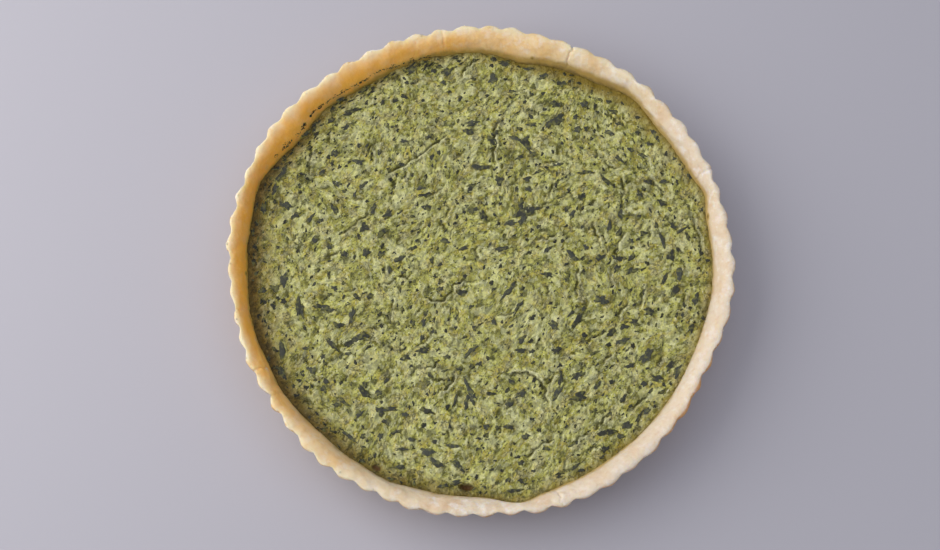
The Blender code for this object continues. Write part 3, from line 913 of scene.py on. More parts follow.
# The rim of the disc is drawn down the pastry to the floor, and closed underneath
top_count = len(top_x)
bpy.ops.object.mode_set(mode="EDIT")
bpy.ops.mesh.select_all(action="DESELECT")
bpy.ops.mesh.select_mode(type="EDGE")
bpy.ops.mesh.select_non_manifold(extend=False)
side_lines = (
    (1.5 * MM, None, None),
    (3.0 * MM, CORNER_RADIUS - FILLING_GAP, BASE_THICKNESS + CORNER_RISE + 0.5 * FILLING_GAP),
    (3.0 * MM, FLOOR_RADIUS - FILLING_GAP, BASE_THICKNESS + FILLING_GAP),
)
for drop, _, _ in side_lines:
    bpy.ops.mesh.extrude_edges_move(TRANSFORM_OT_translate={"value": (0.0, 0.0, -drop)})
bpy.ops.object.mode_set(mode="OBJECT")
spots = read(filling).astype(float)
ring_count = (len(spots) - top_count) // len(side_lines)
for number, (drop, line_radius, line_height) in enumerate(side_lines):
    start = top_count + number * ring_count
    chosen = slice(start, start + ring_count)
    side_angle = np.arctan2(spots[chosen, 1], spots[chosen, 0])
    if line_radius is None:
        line_radius, line_height = filling_line(side_angle)
        line_radius, line_height = line_radius - FILLING_GAP, line_height - drop
    spots[chosen, 0] = line_radius * np.cos(side_angle)
    spots[chosen, 1] = line_radius * np.sin(side_angle)
    spots[chosen, 2] = line_height
place(filling, spots)
bpy.ops.object.mode_set(mode="EDIT")
bpy.ops.mesh.fill_holes(sides=0)
bpy.ops.mesh.select_all(action="SELECT")
bpy.ops.mesh.normals_make_consistent(inside=False)
bpy.ops.object.mode_set(mode="OBJECT")
filling.data.shade_smooth()


def for_all(values, rest=0.0):
    """The values of the top's points, with one value for the points of the side."""
    extra = [(0, len(spots) - top_count)] + [(0, 0)] * (values.ndim - 1)
    return np.pad(values, extra, constant_values=rest)


# Where the filling's edge is stained, where the wall's painted shadow falls on it, warmed by light off the
# pastry, and where it
# has painted shade: degrees, and half-width. It is brownest on the left, partly browned skin and partly
# painted shadow of the
# wall: degrees, and how far from there that begins and is at its most.
STAINED_EDGE = (58.0, 24.0)
WALL_SHADOW_EDGE = (185.0, 48.0)
SHADED_EDGE = (-118.0, 40.0)
BROWNER_SHADOW_SIDE = (186.0, 75.0, 20.0)


def edge_share(spot_place, spot_width):
    return bell(turned(around, spot_place), spot_width)


edge_stain_and_shade = smooth(9.5 * MM, 2.0 * MM, inward) * edge_share(*STAINED_EDGE)
# Next to the pastry, most of all on the left, the paste is darker and warmer: painted shadow of the wall,
# warmed by light off the pastry, with some browned skin
wall_shadow_side = edge_share(*WALL_SHADOW_EDGE)
warm = smooth(8.0 * MM, 0.0, inward) * (0.40 + 0.30 * wall_shadow_side)
warm += smooth(26.0 * MM, 2.0 * MM, inward) * 0.50 * wall_shadow_side
shaded = smooth(10.0 * MM, 3.0 * MM, inward) * edge_share(*SHADED_EDGE)
# All round, the last 2.5 mm by the pastry is darker: partly a stain, partly painted shade where the filling
# meets it
edge_stain_and_shade += 0.45 * smooth(2.5 * MM, 0.0, inward)
# The dark brown band on the left is partly browned skin and partly painted shadow of the wall
browner_and_shadow = smooth(9.0 * MM, 0.0, inward) * (0.10 + 0.65 * on_side(around, *BROWNER_SHADOW_SIDE))
paint(filling, "crease", for_all(crease_side / MM, 9.0))
for name, values in (
    ("streaks", streaks),
    ("open", crease_open),
    ("raised", (relief_height + crumble) / MM),
    ("edge_stain_and_shade", edge_stain_and_shade),
    ("browner_and_shadow", browner_and_shadow),
    ("pit", pit_share),
    ("warm", warm),
    ("shaded", shaded),
):
    paint(filling, name, for_all(values))

# Set custard with cooked leaf: a matt, slightly moist paste, khaki green from the leaf's juice. Its torn
# edges are dry and paler, with a painted highlight on their lips; the skin between is greener, and fine leaf
# shows through it as dark flecks.
paste, tree, custard = new_material("set_spinach_custard")
PATCH = 9.0 * MM
OCHRE_PATCH = 5.5 * MM
VEIL = 2.6 * MM
CURD_GRAIN = 1.05 * MM
GRAIN = 0.50 * MM
LEAF_SIZES = (4.4 * MM, 2.1 * MM, 0.95 * MM)
HALO = 0.04  # of the leaf pattern, round each bit of leaf that shows through
CRACK_SIZES = ((4.6 * MM, 0.26 * MM), (2.2 * MM, 0.20 * MM))  # of the curds, and of the line between them


def custard_patterns(tree):
    """The patterns that the custard's colour and relief share, by name."""
    where = add_node(tree, "ShaderNodeTexCoord").outputs["Object"]
    drawn = add_node(tree, "ShaderNodeAttribute", attribute_name="streaks").outputs["Vector"]
    return {
        "where": where,
        "drawn": drawn,
        "tone": pattern(tree, where, PATCH),
        "ochre": pattern(tree, drawn, OCHRE_PATCH, 3.0),
        "veil": pattern(tree, drawn, VEIL, 5.0, 0.62, 0.5),
        "curd": pattern(tree, drawn, CURD_GRAIN, 3.0, 0.6, 0.3),
        "grain": pattern(tree, where, GRAIN, 2.5),
    }


def custard_colour(tree, found):
    """Colour of the custard, for its own material and for scraps of leaf that it laps over."""
    colour = mixed(tree, spread_out(tree, found["veil"], 0.34, 0.56), "#8A8630", "#C8C667")
    for name, low, high, most, tint in (
        ("ochre", 0.46, 0.62, 0.70, "#BEA935"),
        ("tone", 0.50, 0.32, 0.45, "#6E6A28"),
        ("tone", 0.52, 0.68, 0.40, "#D6D3A0"),
        ("veil", 0.43, 0.33, 0.70, "#535828"),
        ("curd", 0.55, 0.70, 0.75, "#F0EFD2"),
    ):
        colour = tinted(tree, colour, found[name], low, high, most, tint)
    return colour


found = custard_patterns(tree)
drawn, grain, veil = found["drawn"], found["grain"], found["veil"]
large_leaf = pattern(tree, drawn, LEAF_SIZES[0], 5.0, 0.62, 0.3)
leaf_bits = pattern(tree, drawn, LEAF_SIZES[1], 4.0, 0.60, 0.2)
fleck = pattern(tree, drawn, LEAF_SIZES[2], 2.0)
colour = custard_colour(tree, found)
colour = tinted(tree, colour, painted(tree, "raised"), 0.15, 0.75, 0.50, "#E6E4BA")
# Low places of the relief are darker: painted shade in its hollows
colour = tinted(tree, colour, painted(tree, "raised"), -0.10, -0.70, 0.80, "#423E16")
for leaf_pattern, least, most, depth in (
    (large_leaf, 0.585, 0.625, 0.85),
    (leaf_bits, 0.592, 0.632, 0.85),
    (fleck, 0.600, 0.655, 0.80),
):
    colour = tinted(tree, colour, leaf_pattern, least - HALO, least, 0.40, "#5A6032")
    covered = spread_out(tree, grain, 0.30, 0.62, depth, depth * 0.55)
    leaf_share = joined(tree, "MULTIPLY", spread_out(tree, leaf_pattern, least, most), covered)
    colour = mixed(tree, leaf_share, colour, "#2A2A13")

# Thin torn lines run part of the way round the curds, each with a lip: the dark line is painted shade in the
# tear, and the pale lip is partly dried skin and partly a painted highlight
WANDER = 1.5 * MM
wander = add_node(
    tree, "ShaderNodeTexNoise", {"Vector": drawn, "Scale": 1.0 / WANDER, "Detail": 3.0}
).outputs["Color"]
torn_place = add_node(
    tree,
    "ShaderNodeVectorMath",
    {0: wander, 1: (WANDER, WANDER, 0.0), 2: drawn},
    operation="MULTIPLY_ADD",
).outputs[0]
# The torn skin lies in flakes, each a little higher, and paler or darker, than the next
FLAKES = ((3.4 * MM, 0.34), (1.5 * MM, 0.22))  # how wide, and how many mm they differ in height
flakes = 0.0
for size, step in FLAKES:
    flake = add_node(
        tree, "ShaderNodeTexVoronoi", {"Vector": torn_place, "Scale": 1.0 / size}, voronoi_dimensions="2D"
    ).outputs["Color"]
    flakes = joined(tree, "ADD", flakes, joined(tree, "MULTIPLY", flake, step))
    colour = tinted(tree, colour, flake, 0.58, 0.85, 0.38, "#E5E4AC")
    colour = tinted(tree, colour, flake, 0.42, 0.15, 0.36, "#625F26")
TORN_PATCH = 5.5 * MM
torn_mask = pattern(tree, drawn, TORN_PATCH, 2.0)
torn = 0.0
lips = 0.0
for size, width in CRACK_SIZES:
    to_edge = add_node(
        tree,
        "ShaderNodeTexVoronoi",
        {"Vector": torn_place, "Scale": 1.0 / size},
        feature="DISTANCE_TO_EDGE",
        voronoi_dimensions="2D",
    ).outputs["Distance"]
    open_here = spread_out(tree, torn_mask, 0.57, 0.66)
    line = joined(tree, "MULTIPLY", spread_out(tree, to_edge, width / size, 0.0), open_here)
    lip = spread_out(tree, to_edge, 4.0 * width / size, 1.2 * width / size)
    torn = joined(tree, "MAXIMUM", torn, line)
    lips = joined(tree, "MAXIMUM", lips, joined(tree, "MULTIPLY", lip, open_here))
colour = mixed(tree, joined(tree, "MULTIPLY", lips, 0.30), colour, "#CFCBA0")
colour = mixed(tree, joined(tree, "MULTIPLY", torn, 0.60), colour, "#3C3C1C")

# Next to the pastry the skin has browned and dried, and the egg has turned olive yellow. Painted shade lies
# there too: the wall's shadow, warmed by light off the pastry and deepest on the left, where the dark brown
# band is partly shadow; a darker band where the filling meets the pastry; and shade at the lower right.
wall_shadow_share = spread_out(
    tree, joined(tree, "ADD", painted(tree, "warm"), joined(tree, "MULTIPLY", veil, 0.5)), 0.20, 1.30
)
colour = mixed(tree, wall_shadow_share, colour, "#B99A68", "MULTIPLY")
stain_share = joined(tree, "MULTIPLY", painted(tree, "edge_stain_and_shade"), spread_out(tree, veil, 0.2, 0.6, 0.5))
colour = mixed(tree, stain_share, colour, "#857124")
brown_and_shade_share = painted(tree, "browner_and_shadow")
for uneven in (
    spread_out(tree, found["tone"], 0.3, 0.6, 0.4),
    spread_out(tree, found["curd"], 0.66, 0.46, 0.45, 0.95),
):
    brown_and_shade_share = joined(tree, "MULTIPLY", brown_and_shade_share, uneven)
colour = mixed(tree, brown_and_shade_share, colour, "#46391C")
colour = mixed(tree, painted(tree, "shaded"), colour, "#D6CFB4", "MULTIPLY")
colour = mixed(tree, painted(tree, "pit"), colour, "#573B16")
# Along each crease the dark line is painted shade in the tear, and the pale lip on its one side is partly
# dried skin and partly a painted highlight
tear = joined(tree, "SUBTRACT", grain, 0.5)
tear = joined(tree, "ADD", painted(tree, "crease"), joined(tree, "MULTIPLY", tear, 1.3))
tear_away = add_node(tree, "ShaderNodeMath", {0: tear}, operation="ABSOLUTE").outputs[0]
tear_open = painted(tree, "open")
tear_line = joined(tree, "MULTIPLY", spread_out(tree, tear_away, 0.62, 0.08), tear_open)
tear_lip = joined(
    tree, "MULTIPLY", spread_out(tree, tear, 0.35, 0.75), spread_out(tree, tear, 1.70, 0.90)
)
tear_lip = joined(tree, "MULTIPLY", tear_lip, tear_open)
colour = mixed(tree, joined(tree, "MULTIPLY", tear_lip, 0.30), colour, "#E2DFB4")
colour = tinted(tree, colour, tear_line, 0.10, 0.90, 0.50, "#454119")
tree.links.new(colour, custard.inputs["Base Color"])
custard.inputs["Roughness"].default_value = 0.50
custard.inputs["Subsurface Weight"].default_value = 0.10
custard.inputs["Subsurface Radius"].default_value = (1.0, 0.9, 0.3)
custard.inputs["Subsurface Scale"].default_value = 1.0 * MM
custard.inputs["Specular IOR Level"].default_value = 0.30


def relief_of(tree, parts):
    """A bump from patterns, each with the height in mm that its whole range stands for."""
    total = 0.0
    for value, height in parts:
        total = joined(tree, "ADD", total, joined(tree, "MULTIPLY", value, height))
    return add_node(
        tree, "ShaderNodeBump", {"Height": total, "Strength": 1.0, "Distance": MM}
    ).outputs["Normal"]


curdled = relief_of(
    tree,
    (
        (veil, 0.50),
        (flakes, 1.0),
        (found["curd"], 0.70),
        (grain, 0.34),
        (fleck, 0.20),
        (lips, 0.16),
        (torn, -0.40),
        (tear_lip, 0.25),
        (tear_line, -0.30),
    ),
)
tree.links.new(curdled, custard.inputs["Normal"])
filling.data.materials.append(paste)
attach(filling, "root")
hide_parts("spinach_filling")

# The spinach: leaves wilted and chopped into scraps from 1 to 13 mm, held flat in the skin of the filling.
# Paste laps over their edges. The largest lie where the photograph shows them: mm, mm, how long and wide
# they look, degrees.
LARGE_SCRAPS = (
    (21.5, 26, 11, 6, 25), (19.8, 30, 5, 3.5, 80), (26, 27.5, 6, 3, 25), (14.5, 20.5, 7, 3, 20),
    (20.5, 22, 5, 4, 70), (17.6, 63.1, 7.5, 2, -15), (22.7, 60.1, 9, 3, -50), (22.8, 63.2, 4.5, 2, 45),
    (25.9, 55.4, 4.5, 2, -35), (37.4, 72.6, 10, 5, 25), (34, 71, 5, 4, 60), (46.9, 74.2, 3.2, 2.6, 0),
    (47.7, 67.8, 5, 3, 0), (52.1, 68.2, 3, 2.5, 0), (25, 74.8, 3.5, 2, -30), (25.3, 70.4, 5, 2.5, 10),
    (6.6, 61.6, 5, 4, 30), (7.7, 66, 4, 2.6, 10), (19.4, 53.5, 4.5, 2.2, 45), (37.4, 50.2, 6, 2.6, 5),
    (6.6, 94.2, 6.5, 4, 50), (40.3, 91.7, 5, 3.8, 0), (15.8, 87.6, 4, 1.6, 5), (25.3, 86.2, 3, 2.2, -20),
    (37.4, 81, 6.5, 3.5, -20), (51.3, 81, 4.5, 3.8, -30), (63.1, 66.4, 5, 2.6, -35), (77, 66, 3, 2.6, 0),
    (68.2, 70.8, 4.5, 2, -10), (77, 74, 3, 2, 0), (65.3, 77, 4.5, 2.8, -10), (63.1, 82.1, 3, 2.4, 0),
    (85.4, 65.3, 9, 3, -55), (82.5, 60.5, 3.5, 2.6, 20), (95.3, 52.1, 8, 3, -60), (101.2, 44, 5, 2.4, -60),
    (78.5, 55, 6, 1.8, -25), (73.3, 57.6, 4, 2, -10), (67.5, 52.8, 4.5, 2.4, -50), (60.9, 41.8, 7, 2.8, -65),
    (51.3, 46.2, 8, 2.2, 10), (77, 34.5, 5, 3.5, -50), (81.4, 41.1, 4, 3, -40), (88.7, 41.1, 5, 2.4, 5),
    (87.6, 30.8, 5.5, 2.8, -60), (9.5, 41.8, 6, 4, -20), (23, 42.5, 4.5, 2.5, 10),
    (23.5, 37.5, 4.5, 2.5, -20), (28.2, 46.2, 5, 1.6, 30), (36.7, 39.6, 6, 1.4, 80),
    (48.8, 33.7, 4.5, 4, 20), (1.8, 24.2, 7, 3, -55), (44.4, 24.9, 5.5, 2.2, 60), (42, 28, 5, 1.8, 40),
    (62, 19.1, 6.5, 2.2, 80), (67.5, 24.9, 5, 3, 80), (66.7, 16.1, 5, 3, 60), (78.1, 15.4, 3.5, 2.8, 0),
    (71.9, 11.7, 3.2, 2.2, 0), (86.9, 12.5, 9, 2.4, -70), (90.9, 4.4, 6, 4, -60), (84.3, 19.1, 5, 1.6, 75),
    (92.4, 19.1, 5.5, 2.4, -45), (96.1, 16.9, 6, 1.8, 30), (99, 14, 5, 1.8, -50), (10.3, 7.7, 7, 2.6, 10),
    (32.3, 7.3, 5, 2, 60), (44, 4.4, 7, 3.5, -30), (57.2, 3.7, 6, 3, 30), (66, 3.3, 6.5, 3.2, 10),
    (50.6, 8.8, 3.5, 2, -80), (72.2, 3.7, 4.5, 3, 60), (24, 99.5, 6, 2, -5), (12.5, 102.5, 7, 3, 10),
    (31.5, 95.6, 6, 3.2, 20), (-33, 99.3, 7.5, 3.5, 35), (-15.8, 98, 7, 3.8, 30), (-22.4, 98.6, 3, 2.5, 40),
    (-17.6, 92.2, 3, 2.5, 80), (-35.6, 92.4, 2.5, 1.8, 70), (-36.7, 85, 4, 2.5, -30),
    (-47.3, 81.8, 3.5, 2, 45), (-41.4, 82.9, 4, 2, 20), (-72.2, 72.7, 4.5, 2.5, 30),
    (-63, 76.9, 11, 2.8, 18), (-64.5, 69.3, 6, 2.6, 15), (-70, 55.7, 5, 3.5, 45),
    (-75.9, 45.8, 4.5, 2.5, 10), (-68.6, 40.3, 5, 3, -20), (-56.1, 39.2, 6.5, 2.5, 45),
    (-60.1, 34.5, 3, 2, 60), (-93, 29.3, 7.5, 3.5, -25), (-88, 24.2, 5.5, 3, 30), (-81, 22.7, 6, 2, 40),
    (-76.3, 21.6, 3.5, 2.2, 30), (-78.5, 12.1, 6, 3, 55), (-71.5, 8.8, 3.5, 2.4, -70),
    (-69.5, 27.5, 7.5, 2.6, -45), (-55, 18.3, 5.5, 4.3, 0), (-46.6, 15.4, 8, 3, 48),
    (-51, 27.5, 5.5, 3.2, 75), (-44, 24.9, 6.5, 3.2, 55), (-53.9, 5.9, 5, 3.4, 45), (-64.2, 5.1, 4, 3, -30),
    (-25.3, 28.2, 4.5, 4, 10), (-31.9, 8.1, 5, 2, 25), (-16.5, 11.7, 4.5, 2.8, -30),
    (-7.7, 8.1, 4.5, 2.2, 0), (-36.7, 62, 3.5, 2.2, -10), (-24.6, 64.2, 4, 2.5, 20),
    (-37.8, 49.9, 5, 2.2, 0), (-26, 34.5, 7, 2.2, 20), (-28.2, 38.1, 5, 2.2, 10), (-4.4, 38.1, 7, 3, 72),
    (-5.1, 66.7, 6, 4, 10), (-3.7, 71.1, 7, 3, 10), (0.5, 48.5, 10, 3, 5), (-43.6, 52.4, 2.6, 2, 60),
    (-3.3, 27, 5, 3, 20), (-38.1, 2.9, 5.5, 3, 30), (-46.9, 5.1, 5, 2.6, 50), (-22.7, 2.2, 3.5, 2.2, 70),
    (-58.7, 51.3, 6, 3, 0), (-48.4, 56.5, 4, 2.4, 60), (-67.8, 84.3, 6, 2.6, 40), (-84.8, 66.2, 6, 2.4, 35),
    (-95.3, 45.5, 9, 3.2, 75), (-98.3, 37.4, 6, 3, 60), (-103.5, 28, 7, 2.4, 80), (-92.8, -7.3, 8, 4, 75),
    (-96.8, -11.4, 6, 3, -20), (-102.5, -12.5, 4, 3, 10), (-84.7, -20.9, 11, 4, -65),
    (-92.4, -17.6, 3.5, 2.5, 0), (-71.9, -21.3, 8, 3, 5), (-76.3, -20.2, 4.5, 2, 0),
    (-66.4, -29.3, 4.5, 4, -40), (-60.1, -24.9, 8, 2.6, 70), (-57.9, -35.9, 10, 4, 12),
    (-53.9, -34.1, 5, 3, 20), (-61.2, -38.1, 5, 3, 60), (-68.9, -38.5, 9, 2.4, -45),
    (-60.9, -42.9, 4, 2.4, -50), (-73.3, -44, 3, 2.4, 0), (-92.4, -41.1, 11, 2.6, -70),
    (-91.7, -52.1, 8, 2.4, -70), (-78.1, -50.6, 5, 3.4, -50), (-71.5, -55.7, 3.5, 2.4, 0),
    (-72.6, -59.4, 4.5, 2.6, -40), (-53.5, -60.9, 8.5, 3, -35), (-53.2, -57.4, 4, 1.8, -70),
    (-46.9, -61.2, 3.5, 3, 0), (-63, -65.3, 6.5, 2, -50), (-66, -66.7, 5, 1.8, -25),
    (-55.7, -71.1, 5, 2.6, 60), (-46.2, -69.7, 5, 3.5, -10), (-41.8, -68.9, 8, 2.2, 0),
    (-42.9, -74.8, 6, 2.4, -50), (-34.5, -71.5, 3.5, 3, -30), (-24.6, -69.7, 7, 2.6, 0),
    (-34.8, -44.7, 4.5, 3.6, 10), (-26.4, -41.1, 7, 3, 10), (-26.4, -27.9, 4.5, 2.4, 70),
    (-31.5, -28.2, 3.6, 2.2, -70), (-21.6, -32.3, 3, 2.6, 0), (-18.7, -11.7, 3.2, 2.6, 0),
    (-8.4, -13.6, 5.5, 3.6, 15), (-35.9, -3.3, 3, 2.4, 0), (-42.5, -2.6, 4, 2, 80),
    (-71.5, -4.8, 3.5, 2, -70), (-68.6, -11.4, 3.2, 2.4, 0), (-57.9, -15.8, 4.5, 2.6, -30),
    (-51.7, -15.4, 3.5, 3, 0), (-4.4, -41.8, 8, 2.6, 20), (-4.9, -59.5, 13, 2.6, -80),
    (-6.2, -65.5, 7, 2.4, -85), (-3.6, -64.5, 5, 2.6, -60), (-11.4, -64.5, 8, 1.6, 85),
    (-23, -53, 4, 1.8, -70), (-43.3, -55.4, 4, 1.8, 45), (-45.8, -81.4, 4, 2.4, 80),
    (-38.5, -79.2, 5, 2, 10), (-31.5, -82.9, 4, 2, 0), (-53.9, -81.4, 3, 2.2, 0), (-60.1, -81.4, 8, 2, -45),
    (-24, -88.5, 8, 3.6, -10), (-20, -93.5, 7, 3.6, -45), (-35.9, -87.3, 6, 1.4, 0),
    (-36.7, -95.3, 6, 2, 10), (-10.3, -94.6, 8, 3, -25), (-12.5, -85.8, 7, 2, -10), (-11, -102.5, 6, 2.2, 0),
    (-16.9, -104, 5, 2, 0), (13.8, -12.6, 10.5, 2.8, 36), (31.9, -4.8, 5.5, 2.6, -10), (18.4, -20, 6, 2, 40),
    (6.6, -27.5, 3.5, 2.4, -70), (34.8, -29.3, 6, 3.4, -60), (45.8, -26.8, 9, 3, 65),
    (48.8, -21.3, 2.6, 2.4, 0), (43, -23.5, 4, 1.8, 60), (19.8, -35.9, 6, 2.4, 25),
    (19.1, -41.4, 5.5, 2.4, 20), (24.2, -41.8, 3, 2, 0), (24.6, -25.7, 4.5, 2, 35), (35.9, -41.4, 5, 4, 30),
    (53.2, -42.5, 5, 1.6, 35), (46.9, -47.7, 3, 2, 0), (57.2, -17.2, 7, 4.6, -20), (64.9, -1.8, 5, 2.6, 60),
    (71.9, -2.9, 6, 3.6, 20), (94.6, -4.4, 9, 3.2, 85), (92, -12.8, 8, 3, 75), (87.3, -7, 6, 2.2, 80),
    (101.6, -16.9, 6, 3, 75), (79.6, -22.7, 5.5, 4, -10), (99, -30.8, 5, 3, 30), (72.6, -27.9, 5, 3, -40),
    (61.6, -32.6, 5.5, 3.4, 25), (67.5, -30, 4.5, 3, 10), (66.7, -36.7, 7, 3.2, 35), (77.7, -44, 9, 5, 40),
    (88.7, -48.4, 7.5, 2.6, 60), (91.7, -51.3, 7, 3, 55), (82.1, -54.3, 5.5, 3.4, 0),
    (76.3, -56.8, 4, 2.6, 60), (70, -48.4, 5, 2.6, 40), (54.3, -57.9, 4.5, 2.6, 70),
    (37.4, -54.3, 8, 2, -80), (35.9, -61.2, 9, 2.6, 42), (45.8, -63.1, 8, 4.6, 10), (45.5, -53.2, 8, 3, 25),
    (66.4, -63.8, 4.5, 2.2, 60), (19.1, -61.6, 6.5, 3, 20), (13.6, -66, 6, 3.5, 40),
    (14.7, -56.1, 4.5, 2, -20), (5.1, -61.6, 5, 1.6, -10), (13.2, -77, 5, 2.4, 10), (8.1, -77.4, 3, 2, 0),
    (2.9, -77, 4, 2.4, 10), (20.9, -81.4, 4, 3, 0), (18.7, -93.5, 3, 2.6, 0), (30.4, -86.9, 3.6, 2.2, 0),
    (43.3, -84.7, 6, 1.8, 35), (58.3, -79.6, 8, 4, 25), (67.5, -76.3, 6, 3.4, 30), (64.5, -81.4, 4, 2.4, 20),
    (73.3, -72.6, 6, 2, 50), (77, -69.7, 5, 2.2, 30), (84, -60.9, 3.6, 1.8, -10), (57.2, -87.3, 5, 2.2, 20),
    (43.3, -95.3, 6, 1.8, 45), (46.2, -96.8, 3, 2, 0), (15.4, -106, 8, 1.8, 8), (12.8, -101.2, 3.5, 2, 50),
    (18.7, -101.6, 3, 2.4, 0),
)
LAPPED_OVER = (1.30, 1.20, 0.5)  # times as long, times as wide, and mm wider than they look
LARGE_LIFTS = (0.26, 0.42)  # mm of the middle over the skin
LARGE_TONES = (0.35, 1.0)
SCRAPS = 2550
SCRAP_LONGEST = 4.6 * MM
SCRAP_SHORTEST = 0.9 * MM
SCRAP_WIDTHS = (0.35, 0.85)  # share of the length
SCRAP_LIFTS = (0.04, 0.26)
SCRAP_TONES = (0.0, 0.6)
SCRAP_EDGE_GAP = 1.2 * MM
CROWD_LENGTH = 15.0 * MM
SIDES = {"large": 28, "middling": 14, "small": 6}
SCRAP_SINK = 0.42 * MM  # of a scrap's edge, below its middle
SCRAP_BACK = 1.0 * MM  # of its underside
SMALL_SCRAP = 2.6 * MM
LOBES = (2, 3, 5)  # round a scrap's outline
LOBE_SHARES = (0.06, 0.19)
RAGGED = 0.12


def scrap_outline(chance, length, width, heading, sides):
    """Corners of one torn scrap round its middle: lobed, and ragged from one corner to the next."""
    lean = chance.uniform(-0.5, 0.5)
    lobes = [(count, chance.uniform(*LOBE_SHARES), chance.uniform(0.0, 6.28)) for count in LOBES]
    corners = []
    for side in range(sides):
        turn = 2.0 * math.pi * (side + chance.uniform(-0.3, 0.3)) / sides
        size = 0.80 + sum(share * math.cos(count * turn - phase) for count, share, phase in lobes)
        size = max(0.25, size + chance.uniform(-RAGGED, RAGGED))
        long_way = 0.5 * length * size * math.cos(turn)
        wide_way = 0.5 * width * size * math.sin(turn) + lean * long_way * 0.5
        corners.append(
            (
                long_way * math.cos(heading) - wide_way * math.sin(heading),
                long_way * math.sin(heading) + wide_way * math.cos(heading),
            )
        )
    return corners


SCRAP_RINGS = ((0.45, 0.0, 0.95), (0.78, 0.18, 0.62), (1.0, 1.0, 0.0))  # share out, sink, cover


def add_scrap(made, corners, spot_at, tone):
    """One thin closed scrap: its middle lies at the surface, and its edge dips under the paste."""
    points, faces, tones, covers = made
    first = len(points)
    count = len(corners)
    points.append(spot_at(0.0, 0.0, 0.0))
    for share, sink, _ in SCRAP_RINGS:
        drop = -sink * SCRAP_SINK
        points += [spot_at(corner[0] * share, corner[1] * share, drop) for corner in corners]
    points.append(spot_at(0.0, 0.0, -SCRAP_BACK))
    last = len(points) - 1
    for side in range(count):
        here, after = first + 1 + side, first + 1 + (side + 1) % count
        faces.append((first, here, after))
        for ring_number in range(len(SCRAP_RINGS) - 1):
            inner_here, inner_after = here + ring_number * count, after + ring_number * count
            faces.append((inner_here, inner_here + count, inner_after + count, inner_after))
        down = (len(SCRAP_RINGS) - 1) * count
        faces.append((last, after + down, here + down))
    tones += [tone] * (last - first + 1)
    covers += [1.0] + [cover for _, _, cover in SCRAP_RINGS for _ in range(count)] + [0.0]


ABOVE = 20.0 * MM


def on_filling(x, y, lift):
    """Places a scrap's points on the filling's top round one spot."""

    def spot_at(across, up, rise):
        over = Vector((x + across, y + up, FILLING_LEVEL + ABOVE))
        hit, spot, _, _ = filling.ray_cast(over, Vector((0.0, 0.0, -1.0)))
        level = spot.z if hit else FILLING_LEVEL
        # The scrap bridges the finest lumps, so it follows the surface only in part
        level = 0.6 * level + 0.4 * surface_height(x + across, y + up)
        return (x + across, y + up, level + lift + rise)

    return spot_at


chance = random.Random(SEED + 5)
made_scraps = ([], [], [], [])
taken = []
for x, y, length, width, degrees in LARGE_SCRAPS:
    longer, wider, margin = LAPPED_OVER
    sizes = (longer * length * MM, (wider * width + margin) * MM)
    corners = scrap_outline(chance, *sizes, math.radians(degrees), SIDES["large"])
    spot_at = on_filling(x * MM, y * MM, chance.uniform(*LARGE_LIFTS) * MM)
    add_scrap(made_scraps, corners, spot_at, chance.uniform(*LARGE_TONES))
    taken.append((x * MM, y * MM, 0.45 * length * MM))
taken = np.array(taken)
placed = 0
while placed < SCRAPS:
    turn = chance.uniform(0.0, 2.0 * math.pi)
    edge = float(filling_line(np.array([turn]))[0][0])
    out = (edge - SCRAP_EDGE_GAP) * math.sqrt(chance.random())
    x, y = out * math.cos(turn), out * math.sin(turn)
    length = SCRAP_SHORTEST + (SCRAP_LONGEST - SCRAP_SHORTEST) * chance.random() ** 2.2
    width = length * chance.uniform(*SCRAP_WIDTHS)
    crowded = noise.noise(Vector((x, y, 0.07)) / CROWD_LENGTH) + 0.25
    if chance.random() > 0.65 + 0.8 * crowded:
        continue
    if (np.hypot(taken[:, 0] - x, taken[:, 1] - y) < taken[:, 2] + 0.35 * length).any():
        continue
    if length > SMALL_SCRAP:
        taken = np.vstack([taken, (x, y, 0.38 * length)])
    heading = spread_heading(x, y) + chance.gauss(0.0, 0.4)
    sides = SIDES["small" if length < SMALL_SCRAP else "middling"]
    corners = scrap_outline(chance, length, width, heading, sides)
    spot_at = on_filling(x, y, chance.uniform(*SCRAP_LIFTS) * MM)
    add_scrap(made_scraps, corners, spot_at, chance.uniform(*SCRAP_TONES))
    placed += 1

# On the left many lie along the pastry
EDGE_SCRAPS = 150
EDGE_SIDE = (152.0, 42.0)  # degrees: the middle of that stretch, and its spread
EDGE_LENGTHS = (1.5, 5.5)  # mm
EDGE_WIDTHS = (0.25, 0.55)
EDGE_LIFTS = (0.15, 0.35)
EDGE_TONES = (0.0, 0.3)
for _ in range(EDGE_SCRAPS):
    turn = math.radians(chance.gauss(*EDGE_SIDE))
    edge = float(filling_line(np.array([turn]))[0][0])
    out = edge - (0.8 + 5.0 * chance.random() ** 1.6) * MM
    length = chance.uniform(*EDGE_LENGTHS) * MM
    width = length * chance.uniform(*EDGE_WIDTHS)
    heading = turn + math.radians(90.0) + chance.gauss(0.0, 0.35)
    corners = scrap_outline(chance, length, width, heading, SIDES["middling"])
    lift = chance.uniform(*EDGE_LIFTS) * MM
    spot_at = on_filling(out * math.cos(turn), out * math.sin(turn), lift)
    add_scrap(made_scraps, corners, spot_at, chance.uniform(*EDGE_TONES))

# Along the pastry at the upper left, the filling left a broken line of green bits as it sank
TIDE_LINE = (103.0, 152.0)  # degrees
TIDE_BITS = 420
TIDE_HEIGHT = 4.3 * MM  # over the filling
TIDE_WANDER = 1.3 * MM
TIDE_SIDES = 9
TIDE_LIFT = 0.14 * MM
